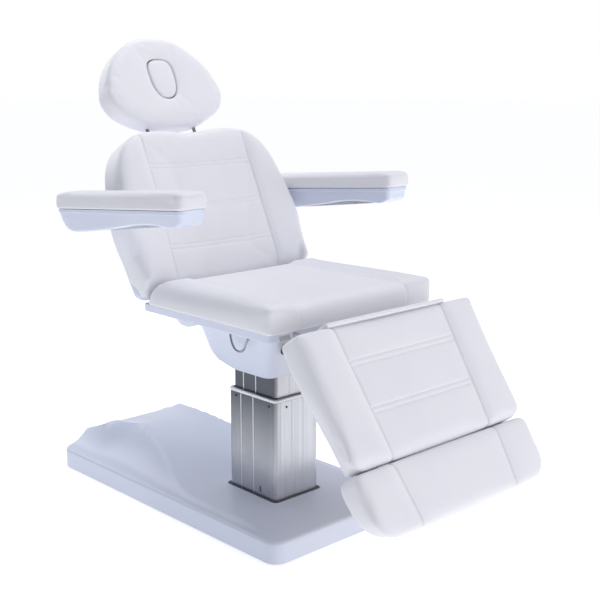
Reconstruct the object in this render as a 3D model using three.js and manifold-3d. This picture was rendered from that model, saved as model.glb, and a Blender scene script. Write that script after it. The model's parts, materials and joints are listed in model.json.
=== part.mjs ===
// Electric facial treatment bed: telescopic aluminium lift column on a moulded base, padded seat,
// reclining back with a sliding headrest, folding armrests, tilting leg rest and sliding foot rest.
// Units are millimetres, +Z is up and the sitter faces -Y. Everything is laid out from the column's
// axis, and the last step moves the whole bed so that its box is centred on the origin.
import * as THREE from "three";
import { mergeVertices } from "three/addons/utils/BufferGeometryUtils.js";
import Module from "manifold-3d";

const wasm = await Module();
wasm.setup();

// ---------- driving dimensions ----------
const GAP = 0.3; // clearance between pieces that touch
const DEG = Math.PI / 180;

const BASE = { halfWidth: 270, front: -305, rear: 756, corner: 42, bottom: 4, wall: 4, edge: 10 };
const COLUMN = { halfX: 85, halfY: 103, corner: 14, wall: 5, bottom: 52.6, top: 362 };
const INNER = { halfX: 74, halfY: 92, corner: 10, wall: 5, bottom: 134, top: 605.7 };
const COLLAR_HEIGHT = 9;
const RAIL = { x: 190, halfWidth: 20, bottom: 14, top: 44, wall: 3, front: -272, rear: 720 };

const SEAT = { halfWidth: 313, front: -335, bottom: 642.3, top: 716, rearTop: 160, rearBottom: 196 };
const TRAY = { halfWidth: 300, front: -316, rear: 215, bottom: 620, top: 642, wall: 3,
  notchHalfWidth: 240, notchDepth: 15 };
const BULGE = { middle: 84, halfLength: 46, depth: 32, inner: 218, outer: 256 };
const SHROUD = { top: 619.7, bottom: 457, wall: 4 };
const SIDE_PLATE_X = 210; // centre of the two seat side plates
const SIDE_PLATE_TOP = 635;
const LUG_X = 222; // centre of the rails and hinge lugs of the back and the leg rest
const BACK_HINGE = { y: 215, z: 632 };
const LEG_HINGE = { y: -378, z: 621 };
const SHAFT_R = 6;
const SHAFT_HOLE_R = 6.5;

const BACK = { y: 164, z: 716, tilt: 26.5, cushion: 82, depth: 109, rearWall: 4 };
const POST = { x: 88, radius: 5.5, depth: 99, socketRadius: 10, bore: 6.1 };
const HEAD = { lift: 500, front: 54, cushion: 72, board: 10, plugCentre: 141, plugClear: 1 };
const ARM = { inner: 335, outer: 435, pitch: 4.7, pivotUp: 228, pivotDepth: 98, spindleR: 9 };
const LEG = { y: -511, z: 593, tilt: 33.7, halfWidth: 329, top: 102, bottom: -250, cushion: 76 };
const FOOT = { top: -262, bottom: -427, halfWidth: 328, cushion: 76 };

const ACTUATOR_X = 120;
const ACTUATOR_PIVOT = { y: -60, z: 545 };
const LEVER = 60; // radius of both actuator levers about their hinge
const EYE = { pin: 5, bore: 12, outer: 18 };
// Each rod stays on one line, the best fit through its lever's arc: its rise from +Y and its length.
const RECLINE_ROD = { angle: 6.63, length: 312.9 };
const LEG_ROD = { angle: 176.52, length: 299.6 };

// ---------- materials ----------
function finish(color, roughness, metalness) {
  return new THREE.MeshStandardMaterial({ color, roughness, metalness });
}
const vinyl = () => finish(0xe2e2ea, 0.45, 0);
const plastic = () => finish(0xd3dbef, 0.35, 0);
const aluminium = () => finish(0xb9bdc6, 0.35, 0.9);
const steel = () => finish(0x8d9096, 0.45, 0.8);
const chrome = () => finish(0xc9ccd1, 0.12, 1);
const blackPlastic = () => finish(0x24262a, 0.5, 0);
const rubber = () => finish(0x2b2b2d, 0.85, 0);
const plywood = () => finish(0xb99a6b, 0.7, 0);
const zinc = () => finish(0xa9adb3, 0.4, 0.85);

// ---------- solids ----------
function solidOf(geometry) {
  const bare = geometry.clone();
  bare.deleteAttribute("normal");
  bare.deleteAttribute("uv");
  const merged = mergeVertices(bare, 1e-4);
  const mesh = { numProp: 3, vertProperties: merged.attributes.position.array };
  mesh.triVerts = new Uint32Array(merged.index.array);
  return new wasm.Manifold(new wasm.Mesh(mesh));
}

function geometryOf(solid) {
  const mesh = solid.getMesh();
  const geometry = new THREE.BufferGeometry();
  geometry.setAttribute("position", new THREE.BufferAttribute(mesh.vertProperties, 3));
  geometry.setIndex(new THREE.BufferAttribute(mesh.triVerts, 1));
  geometry.computeVertexNormals();
  return geometry;
}

function cut(geometry, ...tools) {
  let solid = solidOf(geometry);
  for (const tool of tools) solid = solid.subtract(solidOf(tool));
  return geometryOf(solid);
}

function join(geometry, ...others) {
  let solid = solidOf(geometry);
  for (const other of others) solid = solid.add(solidOf(other));
  return geometryOf(solid);
}

function block(x0, x1, y0, y1, z0, z1) {
  const geometry = new THREE.BoxGeometry(x1 - x0, y1 - y0, z1 - z0);
  return geometry.translate((x0 + x1) / 2, (y0 + y1) / 2, (z0 + z1) / 2);
}

// A round bar from one point to another.
function bar(from, to, radius, sides = 12) {
  const a = new THREE.Vector3(...from);
  const b = new THREE.Vector3(...to);
  const geometry = new THREE.CylinderGeometry(radius, radius, a.distanceTo(b), sides);
  const turn = new THREE.Quaternion().setFromUnitVectors(
    new THREE.Vector3(0, 1, 0),
    b.clone().sub(a).normalize(),
  );
  geometry.applyQuaternion(turn);
  const middle = a.add(b).multiplyScalar(0.5);
  return geometry.translate(middle.x, middle.y, middle.z);
}

// An outline of (x, z) points, extruded along y from near to far, with optional rounded edges.
function slab(outline, near, far, round = 0) {
  const options = { depth: far - near - 2 * round, bevelEnabled: round > 0, curveSegments: 3 };
  Object.assign(options, { bevelThickness: round, bevelSize: round, bevelOffset: -round, bevelSegments: 2 });
  const geometry = new THREE.ExtrudeGeometry(outline, options);
  return geometry.rotateX(Math.PI / 2).translate(0, far - round, 0);
}

// An outline of (y, z) points, extruded along x from x0 to x1, with optional rounded edges.
function sidePrism(outline, x0, x1, round = 0) {
  const options = { depth: x1 - x0 - 2 * round, bevelEnabled: round > 0, curveSegments: 3 };
  Object.assign(options, { bevelThickness: round, bevelSize: round, bevelOffset: -round, bevelSegments: 2 });
  const geometry = new THREE.ExtrudeGeometry(outline, options);
  const axes = new THREE.Matrix4().makeBasis(
    new THREE.Vector3(0, 1, 0),
    new THREE.Vector3(0, 0, 1),
    new THREE.Vector3(1, 0, 0),
  );
  return geometry.applyMatrix4(axes).translate(x0 + round, 0, 0);
}

function polygon(points) {
  return new THREE.Shape(points.map(([a, b]) => new THREE.Vector2(a, b)));
}

function disc(a, b, radius) {
  const shape = new THREE.Shape();
  shape.absarc(a, b, radius, 0, 2 * Math.PI, false);
  return shape;
}

// A rectangle with its own radius at the two lower and the two upper corners.
function roundedRect(a0, a1, b0, b1, lower, upper = lower) {
  const shape = new THREE.Shape();
  shape.moveTo(a0 + lower, b0);
  shape.lineTo(a1 - lower, b0);
  shape.absarc(a1 - lower, b0 + lower, lower, -Math.PI / 2, 0, false);
  shape.lineTo(a1, b1 - upper);
  shape.absarc(a1 - upper, b1 - upper, upper, 0, Math.PI / 2, false);
  shape.lineTo(a0 + upper, b1);
  shape.absarc(a0 + upper, b1 - upper, upper, Math.PI / 2, Math.PI, false);
  shape.lineTo(a0, b0 + lower);
  shape.absarc(a0 + lower, b0 + lower, lower, Math.PI, 1.5 * Math.PI, false);
  return shape;
}

// A smooth outline, the same on both sides, through points given for its right half.
function mirroredOutline(half, inset = 0, samples = 32) {
  const right = half.map(([a, b]) => new THREE.Vector3(a, b, 0));
  const left = half.filter(([a]) => a > 0).reverse().map(([a, b]) => new THREE.Vector3(-a, b, 0));
  const curve = new THREE.CatmullRomCurve3([...right, ...left], true, "centripetal");
  const centre = new THREE.Box3().setFromPoints(right.concat(left)).getCenter(new THREE.Vector3());
  const size = new THREE.Box3().setFromPoints(right.concat(left)).getSize(new THREE.Vector3());
  const points = [];
  for (let i = 0; i < samples; i++) {
    const p = curve.getPoint(i / samples);
    const a = centre.x + (p.x - centre.x) * (1 - (2 * inset) / size.x);
    const b = centre.y + (p.y - centre.y) * (1 - (2 * inset) / size.y);
    points.push([a, b]);
  }
  return polygon(points);
}

// Loops with the same number of points, joined one to the next. The first and last loops are
// closed by a fan each, or joined to each other when the skin runs round in a ring.
function loft(loops, ring = false) {
  const count = loops[0].length;
  const positions = loops.flat(2);
  const index = [];
  const at = (i, j) => i * count + ((j + count) % count);
  const last = ring ? loops.length : loops.length - 1;
  for (let i = 0; i < last; i++) {
    const next = (i + 1) % loops.length;
    for (let j = 0; j < count; j++) {
      index.push(at(i, j), at(i, j + 1), at(next, j + 1));
      index.push(at(i, j), at(next, j + 1), at(next, j));
    }
  }
  if (!ring) {
    for (const [i, turn] of [[0, -1], [loops.length - 1, 1]]) {
      const middle = [0, 1, 2].map((k) => loops[i].reduce((sum, p) => sum + p[k], 0) / count);
      positions.push(...middle);
      const centre = positions.length / 3 - 1;
      for (let j = 0; j < count; j++) index.push(centre, at(i, j), at(i, j + turn));
    }
  }
  const geometry = new THREE.BufferGeometry();
  geometry.setAttribute("position", new THREE.BufferAttribute(new Float32Array(positions), 3));
  geometry.setIndex(index);
  return geometry;
}

// A level rounded rectangle as a loop of points, anticlockwise from above.
function rectLoop(x, y0, y1, radius, z, cornerSteps = 3) {
  const points = [];
  const corners = [[x, y1, 0], [-x, y1, 1], [-x, y0, 2], [x, y0, 3]];
  for (const [cx, cy, quarter] of corners) {
    const mx = cx - Math.sign(cx) * radius;
    const my = quarter < 2 ? cy - radius : cy + radius;
    for (let i = 0; i <= cornerSteps; i++) {
      const angle = ((quarter + i / cornerSteps) * Math.PI) / 2;
      points.push([mx + radius * Math.cos(angle), my + radius * Math.sin(angle), z]);
    }
  }
  return points;
}

function lathe(profile, sides = 12) {
  const points = profile.map(([r, z]) => new THREE.Vector2(r, z));
  return new THREE.LatheGeometry(points, sides).rotateX(Math.PI / 2);
}

// ---------- the scene graph ----------
const bed = new THREE.Group();

function add(name, geometry, material, parent = bed) {
  const mesh = new THREE.Mesh(geometry, material);
  mesh.name = name;
  parent.add(mesh);
  return mesh;
}

const SIDES = [["left", 1], ["right", -1]];

// ---------- base ----------
// Smooth value between knots given as [place, value].
function between(knots, place) {
  if (place <= knots[0][0]) return knots[0][1];
  for (let i = 1; i < knots.length; i++) {
    const [a, va] = knots[i - 1];
    const [b, vb] = knots[i];
    if (place > b) continue;
    const t = (place - a) / (b - a);
    return va + (vb - va) * t * t * (3 - 2 * t);
  }
  return knots[knots.length - 1][1];
}

const DECK_HEIGHT = [[-250, 66], [-120, 74], [110, 76], [510, 160], [620, 150], [756, 104]];
const CREST_HALF_WIDTH = [[60, 236], [517, 122], [756, 170]];
const RIM_HEIGHT = 66;
const RIM_INSET = 14;

// Height of the cover's top: a humped deck between two crests, and a hollow flank outside each.
function coverHeight(x, y) {
  const deck = between(DECK_HEIGHT, y);
  const crest = between(CREST_HALF_WIDTH, y);
  const rim = BASE.halfWidth - RIM_INSET;
  const out = Math.min(Math.max((Math.abs(x) - crest) / (rim - crest), 0), 1);
  return RIM_HEIGHT + (deck - RIM_HEIGHT) * (1 - out) ** 2;
}

// A rounded rectangle round the column with points bunched alike on every size of it.
function coverLoop(halfX, y0, y1, radius) {
  const points = [];
  const alongX = 6;
  const alongY = 12;
  const corner = 2;
  const sides = [
    [halfX, y0 + radius, halfX, y1 - radius, alongY, 0],
    [halfX - radius, y1, -halfX + radius, y1, alongX, 1],
    [-halfX, y1 - radius, -halfX, y0 + radius, alongY, 2],
    [-halfX + radius, y0, halfX - radius, y0, alongX, 3],
  ];
  for (const [ax, ay, bx, by, steps, quarter] of sides) {
    for (let i = 0; i < steps; i++) {
      points.push([ax + ((bx - ax) * i) / steps, ay + ((by - ay) * i) / steps]);
    }
    const mx = quarter === 0 || quarter === 3 ? halfX - radius : -halfX + radius;
    const my = quarter < 2 ? y1 - radius : y0 + radius;
    for (let i = 0; i < corner; i++) {
      const angle = ((quarter + i / corner) * Math.PI) / 2;
      points.push([mx + radius * Math.cos(angle), my + radius * Math.sin(angle)]);
    }
  }
  return points;
}

function baseCover() {
  const hole = coverLoop(COLUMN.halfX + 9, -COLUMN.halfY - 9, COLUMN.halfY + 9, 16);
  const skin = (inset, drop) => {
    const edge = BASE.edge;
    const outline = (extra) => {
      const d = inset + extra;
      return coverLoop(BASE.halfWidth - d, BASE.front + d, BASE.rear - d, Math.max(BASE.corner - d, 6));
    };
    const top = outline(edge);
    const loops = [];
    const steps = 7;
    for (let i = 0; i <= steps; i++) {
      const t = i / steps;
      loops.push(hole.map(([hx, hy], j) => {
        const x = hx + (top[j][0] - hx) * t;
        const y = hy + (top[j][1] - hy) * t;
        return [x, y, coverHeight(x, y) - drop];
      }));
    }
    for (const angle of [45, 90]) {
      const out = edge * (1 - Math.sin(angle * DEG));
      const down = edge * (1 - Math.cos(angle * DEG));
      loops.push(outline(out).map(([x, y], j) => {
        return [x, y, coverHeight(top[j][0], top[j][1]) - drop - down];
      }));
    }
    loops.push(outline(0).map(([x, y]) => [x, y, BASE.bottom]));
    return loops;
  };
  const outer = skin(0, 0).reverse();
  const inner = skin(BASE.wall, BASE.wall);
  return loft([...outer, ...inner], true);
}

const INLET = { halfWidth: 17, bottom: 26, top: 52, depth: 24 };

function buildBase() {
  const inletHole = block(-INLET.halfWidth - GAP, INLET.halfWidth + GAP, BASE.rear - 20, BASE.rear + 5,
    INLET.bottom - GAP, INLET.top + GAP);
  add("base_cover", cut(baseCover(), inletHole), plastic());

  const inletBody = block(-INLET.halfWidth, INLET.halfWidth, BASE.rear - INLET.depth, BASE.rear - 0.2,
    INLET.bottom, INLET.top);
  const socket = block(-12.5, 12.5, BASE.rear - 16, BASE.rear + 1, INLET.bottom + 4, INLET.top - 4);
  add("power_inlet", cut(inletBody, socket), blackPlastic());

  for (const [side, sign] of SIDES) {
    const x0 = sign * RAIL.x - RAIL.halfWidth;
    const x1 = sign * RAIL.x + RAIL.halfWidth;
    const tube = block(x0, x1, RAIL.front, RAIL.rear, RAIL.bottom, RAIL.top);
    const bore = block(x0 + RAIL.wall, x1 - RAIL.wall, RAIL.front - 1, RAIL.rear + 1,
      RAIL.bottom + RAIL.wall, RAIL.top - RAIL.wall);
    add("base_rail_" + side, cut(tube, bore), steel());
    for (const [end, y] of [["front", RAIL.front + 26], ["rear", RAIL.rear - 26]]) {
      const foot = lathe([[0, 0], [21, 0], [22, 2], [20, 8], [8, 9], [8, RAIL.bottom - GAP],
        [0, RAIL.bottom - GAP]]);
      foot.translate(sign * RAIL.x, y, 0);
      add("levelling_foot_" + end + "_" + side, foot, rubber());
    }
  }

  const plateTop = COLUMN.bottom - GAP;
  const plate = block(-208, 208, -150, 345, RAIL.top + GAP, plateTop);
  add("column_foot_plate", plate, steel());
  const box = slab(roundedRect(-80, 80, plateTop + GAP, plateTop + 24, 4), 205, 335);
  add("control_box", box, blackPlastic());
}

// ---------- lift column ----------
// One telescopic section: a rounded rectangular tube with two grooves down each broad side.
function columnSection(spec) {
  const groove = { places: [-6, 48], halfWidth: 2, depth: 2 };
  const half = (inset, z) => rectLoop(spec.halfX - inset, -spec.halfY + inset, spec.halfY - inset,
    Math.max(spec.corner - inset, 3), z);
  const tube = loft([
    half(0, spec.bottom),
    half(0, spec.top),
    half(spec.wall, spec.top),
    half(spec.wall, spec.bottom),
  ], true);
  const grooves = [];
  for (const [, sign] of SIDES) {
    for (const y of groove.places) {
      const x = sign * spec.halfX;
      grooves.push(block(x - groove.depth, x + groove.depth, y - groove.halfWidth, y + groove.halfWidth,
        spec.bottom - 1, spec.top + 1));
    }
  }
  return cut(tube, ...grooves);
}

// A flat frame round the column, from an inner to an outer offset of the outer section.
function columnFrame(innerOffset, outerOffset, z0, z1) {
  const ringAt = (offset, z) => rectLoop(COLUMN.halfX + offset, -COLUMN.halfY - offset,
    COLUMN.halfY + offset, COLUMN.corner + offset, z);
  return loft([
    ringAt(outerOffset, z0),
    ringAt(outerOffset, z1),
    ringAt(innerOffset, z1),
    ringAt(innerOffset, z0),
  ], true);
}

function buildColumn() {
  add("column_outer", columnSection(COLUMN), aluminium());
  const collarBottom = COLUMN.top + GAP;
  add("column_collar", columnFrame(-10, 0.6, collarBottom, collarBottom + COLLAR_HEIGHT), aluminium());
  add("column_gasket", columnFrame(0.4, 8.4, 70, 78), rubber());

  const floor = COLUMN.bottom;
  const gearbox = block(-34, 34, -58, 78, floor, floor + 24);
  const tube = bar([0, -25, floor], [0, -25, 330], 30, 20);
  const motor = bar([0, 45, floor], [0, 45, 230], 28, 20);
  const rodBore = bar([0, -25, floor + 5], [0, -25, 340], 15.5, 20);
  add("lift_actuator_body", cut(join(gearbox, tube, motor), rodBore), steel());

  add("column_inner", columnSection(INNER), aluminium());
  add("lift_rod", bar([0, -25, INNER.bottom + 6], [0, -25, INNER.top], 14, 16), chrome());
}

// ---------- seat ----------
// Hopper round the head of the column: its sides taper inward, and its foot rises at the rear.
function shroudLoops(inset) {
  const foot = rectLoop(138 - inset, -135 + inset, 101 - inset, 24, SHROUD.bottom);
  const waist = rectLoop(160 - inset, -163 + inset, 108 - inset, 26, 500);
  const mouth = rectLoop(205 - inset, -215 + inset, 117 - inset, 28, SHROUD.top);
  const footRise = [[0, 0], [101, 16]];
  return [foot.map(([x, y, z]) => [x, y, z + between(footRise, y)]), waist, mouth];
}

function buildShroud() {
  const walls = loft([...shroudLoops(0), ...shroudLoops(SHROUD.wall).reverse()], true);
  const legWindow = block(-ACTUATOR_X - 27, -ACTUATOR_X + 27, -230, -140, 516, 592);
  const backWindow = block(ACTUATOR_X - 27, ACTUATOR_X + 27, 80, 130, 522, 600);
  add("seat_shroud", cut(walls, legWindow, backWindow), plastic());
}

// The tray's level outline, notched at the rear for the hinge of the back.
function trayOutline(inset, z) {
  const { halfWidth, front, rear, notchHalfWidth, notchDepth } = TRAY;
  const side = halfWidth - inset;
  const chamfer = 14;
  const notch = notchHalfWidth + inset;
  const points = [[side, front + inset + chamfer], [side, rear - inset], [notch, rear - inset],
    [notch, rear - notchDepth - inset], [-notch, rear - notchDepth - inset], [-notch, rear - inset],
    [-side, rear - inset], [-side, front + inset + chamfer], [-side + chamfer, front + inset],
    [side - chamfer, front + inset]];
  return points.map(([x, y]) => [x, y, z]);
}

// Floor-and-walls pan under the seat, filled by the seat's plywood board.
function buildTray() {
  const floor = TRAY.bottom + TRAY.wall;
  const top = TRAY.top - GAP;
  const pan = loft([
    trayOutline(0, TRAY.bottom),
    trayOutline(0, top),
    trayOutline(TRAY.wall, top),
    trayOutline(TRAY.wall, floor),
  ]);
  const board = loft([
    trayOutline(TRAY.wall + GAP, floor + GAP),
    trayOutline(TRAY.wall + GAP, top),
  ]);
  const slot = (x, room) => block(x - 4 - room, x + 4 + room, TRAY.front - 5, TRAY.rear + 5, floor,
    SIDE_PLATE_TOP + 0.5);
  const slots = SIDES.map(([, sign]) => slot(sign * SIDE_PLATE_X, 0.5));
  const bulges = SIDES.map(([, sign]) => bulge(sign));
  add("seat_tray", cut(join(pan, ...bulges), ...slots), plastic());
  add("seat_board", cut(board, ...slots), plywood());
}

// Rounded boss moulded under the rear of the tray on each side.
function bulge(sign) {
  const { middle, halfLength, depth, inner, outer } = BULGE;
  const outline = new THREE.Shape();
  outline.moveTo(middle - halfLength, TRAY.bottom + 1);
  outline.absellipse(middle, TRAY.bottom + 1, halfLength, depth, Math.PI, 2 * Math.PI, false);
  return sidePrism(outline, sign > 0 ? inner : -outer, sign > 0 ? outer : -inner);
}

function seatProfile() {
  return polygon([
    [SEAT.front, SEAT.bottom],
    [SEAT.rearBottom, SEAT.bottom],
    [SEAT.rearTop + 3, SEAT.top - 10],
    [SEAT.rearTop - 10, SEAT.top],
    [SEAT.front + 12, SEAT.top],
    [SEAT.front, SEAT.top - 12],
  ]);
}

function buildSeat() {
  const plate = block(-184, 184, -165, 98, INNER.top + GAP, TRAY.bottom - GAP);
  const lugs = [];
  for (const [, sign] of SIDES) {
    for (const offset of [-23, 23]) {
      const x = sign * ACTUATOR_X + offset;
      const lug = polygon([[-85, INNER.top + 2], [-35, INNER.top + 2], [-48, 534], [-72, 534]]);
      lugs.push(sidePrism(lug, x - 2.5, x + 2.5));
    }
    const pin = bar([sign * ACTUATOR_X - 24, ACTUATOR_PIVOT.y, ACTUATOR_PIVOT.z],
      [sign * ACTUATOR_X + 24, ACTUATOR_PIVOT.y, ACTUATOR_PIVOT.z], SHAFT_R);
    lugs.push(pin);
  }
  add("column_head_plate", join(plate, ...lugs), steel());

  for (const [side, sign] of SIDES) {
    const x0 = sign * SIDE_PLATE_X - 4;
    const beam = block(x0, x0 + 8, LEG_HINGE.y, BACK_HINGE.y, TRAY.bottom + TRAY.wall + GAP,
      SIDE_PLATE_TOP);
    const ends = [LEG_HINGE, BACK_HINGE].map((h) => sidePrism(disc(h.y, h.z, 11), x0, x0 + 8));
    const holes = [LEG_HINGE, BACK_HINGE].map((h) => {
      return bar([x0 - 1, h.y, h.z], [x0 + 9, h.y, h.z], SHAFT_HOLE_R);
    });
    add("seat_side_plate_" + side, cut(join(beam, ...ends), ...holes), steel());
    buildHook(side, sign);
  }
  for (const [name, hinge] of [["back_hinge_shaft", BACK_HINGE], ["leg_hinge_shaft", LEG_HINGE]]) {
    add(name, bar([-234, hinge.y, hinge.z], [234, hinge.y, hinge.z], SHAFT_R), chrome());
  }

  add("seat_cushion", sidePrism(seatProfile(), -SEAT.halfWidth, SEAT.halfWidth), vinyl());
}

// Bent wire hook on each side of the shroud.
function buildHook(side, sign) {
  const wall = 190;
  const out = 205;
  const points = [[wall + 5, -52, 589], [out, -53, 585], [out, -60, 562], [out, -73, 545],
    [out, -92, 541], [out, -110, 551], [out, -120, 570], [out, -131, 586], [wall + 8, -138, 590]];
  const curve = new THREE.CatmullRomCurve3(points.map(([x, y, z]) => new THREE.Vector3(sign * x, y, z)));
  const options = { steps: 18, extrudePath: curve, bevelEnabled: false };
  const wire = new THREE.ExtrudeGeometry(polygonCircle(2.8, 6), options);
  add("hook_" + side, wire, chrome());
}

function polygonCircle(radius, sides) {
  const points = [];
  for (let i = 0; i < sides; i++) {
    const angle = (i / sides) * 2 * Math.PI;
    points.push([radius * Math.cos(angle), radius * Math.sin(angle)]);
  }
  return polygon(points);
}

// ---------- back ----------
// Local frame: z runs up the cushion's face, y runs from the face to the rear.
const backGroup = new THREE.Group();
backGroup.position.set(0, BACK.y, BACK.z);
backGroup.rotation.x = -BACK.tilt * DEG;
bed.add(backGroup);

function toLocal(group, y, z) {
  group.updateMatrixWorld(true);
  const p = new THREE.Vector3(0, y, z).applyMatrix4(group.matrixWorld.clone().invert());
  return { y: p.y, z: p.z };
}

const BACK_HALF = [[0, -36], [150, -36], [285, -36], [308, -20], [312, 0], [318, 74], [326, 150],
  [322, 210], [306, 295], [285, 365], [252, 413], [209, 440], [150, 452], [85, 451], [0, 443]];

function buildBack() {
  const hinge = toLocal(backGroup, BACK_HINGE.y, BACK_HINGE.z);
  const cushion = slab(mirroredOutline(BACK_HALF, 0, 40), 0, BACK.cushion, 10);
  const chamfer = sidePrism(polygon([[-2, 14], [-2, -80], [72, -80], [67, -42]]), -340, 340);
  add("back_cushion", cut(cushion, chamfer), vinyl(), backGroup);

  const boardNear = BACK.cushion + GAP;
  const boardFar = boardNear + 7;
  add("back_board", slab(mirroredOutline(BACK_HALF, 22), boardNear, boardFar), plywood(), backGroup);

  const shellOuter = slab(mirroredOutline(BACK_HALF, 5, 40), boardNear, BACK.depth);
  const shellInner = slab(mirroredOutline(BACK_HALF, 9, 40), boardNear - 5, BACK.depth - BACK.rearWall);
  const openings = [];
  for (const [, sign] of SIDES) {
    openings.push(block(sign * LUG_X - 15, sign * LUG_X + 15, boardFar, BACK.depth + 5, -60, 6));
    openings.push(bar([sign * 290, ARM.pivotDepth, ARM.pivotUp], [sign * 335, ARM.pivotDepth, ARM.pivotUp],
      ARM.spindleR + 1));
    openings.push(bar([sign * POST.x, POST.depth, 400], [sign * POST.x, POST.depth, 470],
      POST.socketRadius + 0.6));
  }
  openings.push(block(-200, 200, boardFar, BACK.depth + 5, -60, 6));
  openings.push(block(ACTUATOR_X - 24, ACTUATOR_X + 24, boardFar, BACK.depth + 5, -60, 42));
  add("back_shell", cut(shellOuter, shellInner, ...openings), plastic(), backGroup);

  const railNear = boardFar + GAP;
  const railFar = BACK.depth - BACK.rearWall - GAP;
  const barFrom = 10;
  const barTo = 32;
  for (const [side, sign] of SIDES) {
    const x = sign * LUG_X;
    const rail = block(x - 11, x + 11, railNear, railFar, -22, 380);
    const lugShape = polygon([[railNear, 0], [railFar, 0], [railFar - 2, -44], [hinge.y + 6, hinge.z - 9],
      [hinge.y - 4, hinge.z + 10], [railNear, -40]]);
    const lug = sidePrism(lugShape, x - 4, x + 4);
    const boss = sidePrism(disc(hinge.y, hinge.z, 11), x - 4, x + 4);
    const hole = bar([x - 20, hinge.y, hinge.z], [x + 20, hinge.y, hinge.z], SHAFT_HOLE_R);
    add("back_rail_" + side, cut(join(rail, lug, boss), hole), steel(), backGroup);

    const socket = bar([sign * POST.x, POST.depth, 190], [sign * POST.x, POST.depth, 446],
      POST.socketRadius);
    const bore = bar([sign * POST.x, POST.depth, 180], [sign * POST.x, POST.depth, 460], POST.bore);
    const trimmed = block(sign * POST.x - 20, sign * POST.x + 20, POST.depth - 30, railNear, 150, 460);
    const trimmedRear = block(sign * POST.x - 20, sign * POST.x + 20, railFar, POST.depth + 30, 150, 436);
    add("headrest_socket_" + side, cut(socket, bore, trimmed, trimmedRear), blackPlastic(), backGroup);

    buildSpindle(side, sign);
  }
  buildBackLever(railNear, railFar, barFrom, barTo);
}

// Fixed stub axle that carries an armrest, with a flange beside the back.
function buildSpindle(side, sign) {
  const along = (x) => [sign * x, ARM.pivotDepth, ARM.pivotUp];
  const axle = bar(along(LUG_X + 11 + GAP), along(ARM.inner + 50), ARM.spindleR - 2.5);
  const flange = bar(along(326), along(ARM.inner - 1), 20, 24);
  add("armrest_spindle_" + side, join(axle, flange), steel(), backGroup);
}

// Where an actuator's rod meets its lever, at rest.
function leverEnd(hinge, angle) {
  return { y: hinge.y + LEVER * Math.cos(angle * DEG), z: hinge.z + LEVER * Math.sin(angle * DEG) };
}
const BACK_LEVER_END = leverEnd(BACK_HINGE, -53.4);
const LEG_LEVER_END = leverEnd(LEG_HINGE, -71);

// Cross bar between the rails, with a forked lever and the pin that the actuator's rod works on.
function leverBar(group, end, x, crossBar, root) {
  const pivot = toLocal(group, end.y, end.z);
  const pieces = [];
  for (const offset of [-16, 16]) {
    const arm = polygon([root[0], root[1], [pivot.y + 8, pivot.z - 3], [pivot.y - 6, pivot.z - 8]]);
    pieces.push(sidePrism(arm, x + offset - 3, x + offset + 3));
    pieces.push(sidePrism(disc(pivot.y, pivot.z, 10), x + offset - 3, x + offset + 3));
  }
  pieces.push(bar([x - 17, pivot.y, pivot.z], [x + 17, pivot.y, pivot.z], EYE.pin, 12));
  return join(crossBar, ...pieces);
}

function buildBackLever(near, far, low, high) {
  const end = LUG_X - 11 - GAP;
  const crossBar = block(-end, end, near, far, low, high);
  const root = [[near + 2, high - 6], [far - 1, high - 6]];
  const lever = leverBar(backGroup, BACK_LEVER_END, ACTUATOR_X, crossBar, root);
  add("back_lever_bar", lever, steel(), backGroup);
}

// ---------- headrest ----------
const HEAD_HALF = [[0, -14], [82, -9], [150, 16], [190, 43], [210, 85], [203, 130], [178, 182],
  [140, 224], [95, 256], [45, 273], [0, 276]];

// Egg-shaped outline of the headrest's plug, broader at the top.
function plugOutline(grow) {
  const points = [];
  const steps = 18;
  for (let i = 0; i < steps; i++) {
    const angle = (i / steps) * 2 * Math.PI;
    const width = (46 + grow) * (1 + 0.14 * Math.sin(angle));
    const a = width * Math.sign(Math.cos(angle)) * Math.abs(Math.cos(angle)) ** 0.8;
    const b = (64 + grow) * Math.sign(Math.sin(angle)) * Math.abs(Math.sin(angle)) ** 0.85;
    points.push([a, HEAD.plugCentre + b]);
  }
  return polygon(points);
}

function buildHeadrest() {
  const head = new THREE.Group();
  head.position.set(0, HEAD.front, HEAD.lift);
  backGroup.add(head);
  const far = HEAD.cushion;
  const hole = slab(plugOutline(HEAD.plugClear), -10, far + 40);
  const posts = [];
  const postTop = 62;
  const postDepth = POST.depth - HEAD.front;
  for (const [side, sign] of SIDES) {
    const from = [sign * POST.x, postDepth, 232 - HEAD.lift];
    const to = [sign * POST.x, postDepth, postTop];
    add("headrest_post_" + side, bar(from, to, POST.radius), chrome(), head);
    posts.push(bar([from[0], postDepth, -60], [to[0], postDepth, postTop + 1], POST.radius + 0.6));
  }
  const cushion = slab(mirroredOutline(HEAD_HALF, 0, 36), 0, far, 16);
  add("headrest_cushion", cut(cushion, hole, ...posts), vinyl(), head);
  const board = slab(mirroredOutline(HEAD_HALF, 12), far + GAP, far + GAP + HEAD.board);
  add("headrest_board", cut(board, hole), plastic(), head);
  add("headrest_plug", slab(plugOutline(0), 3, far + HEAD.board, 4), vinyl(), head);
}

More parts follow.
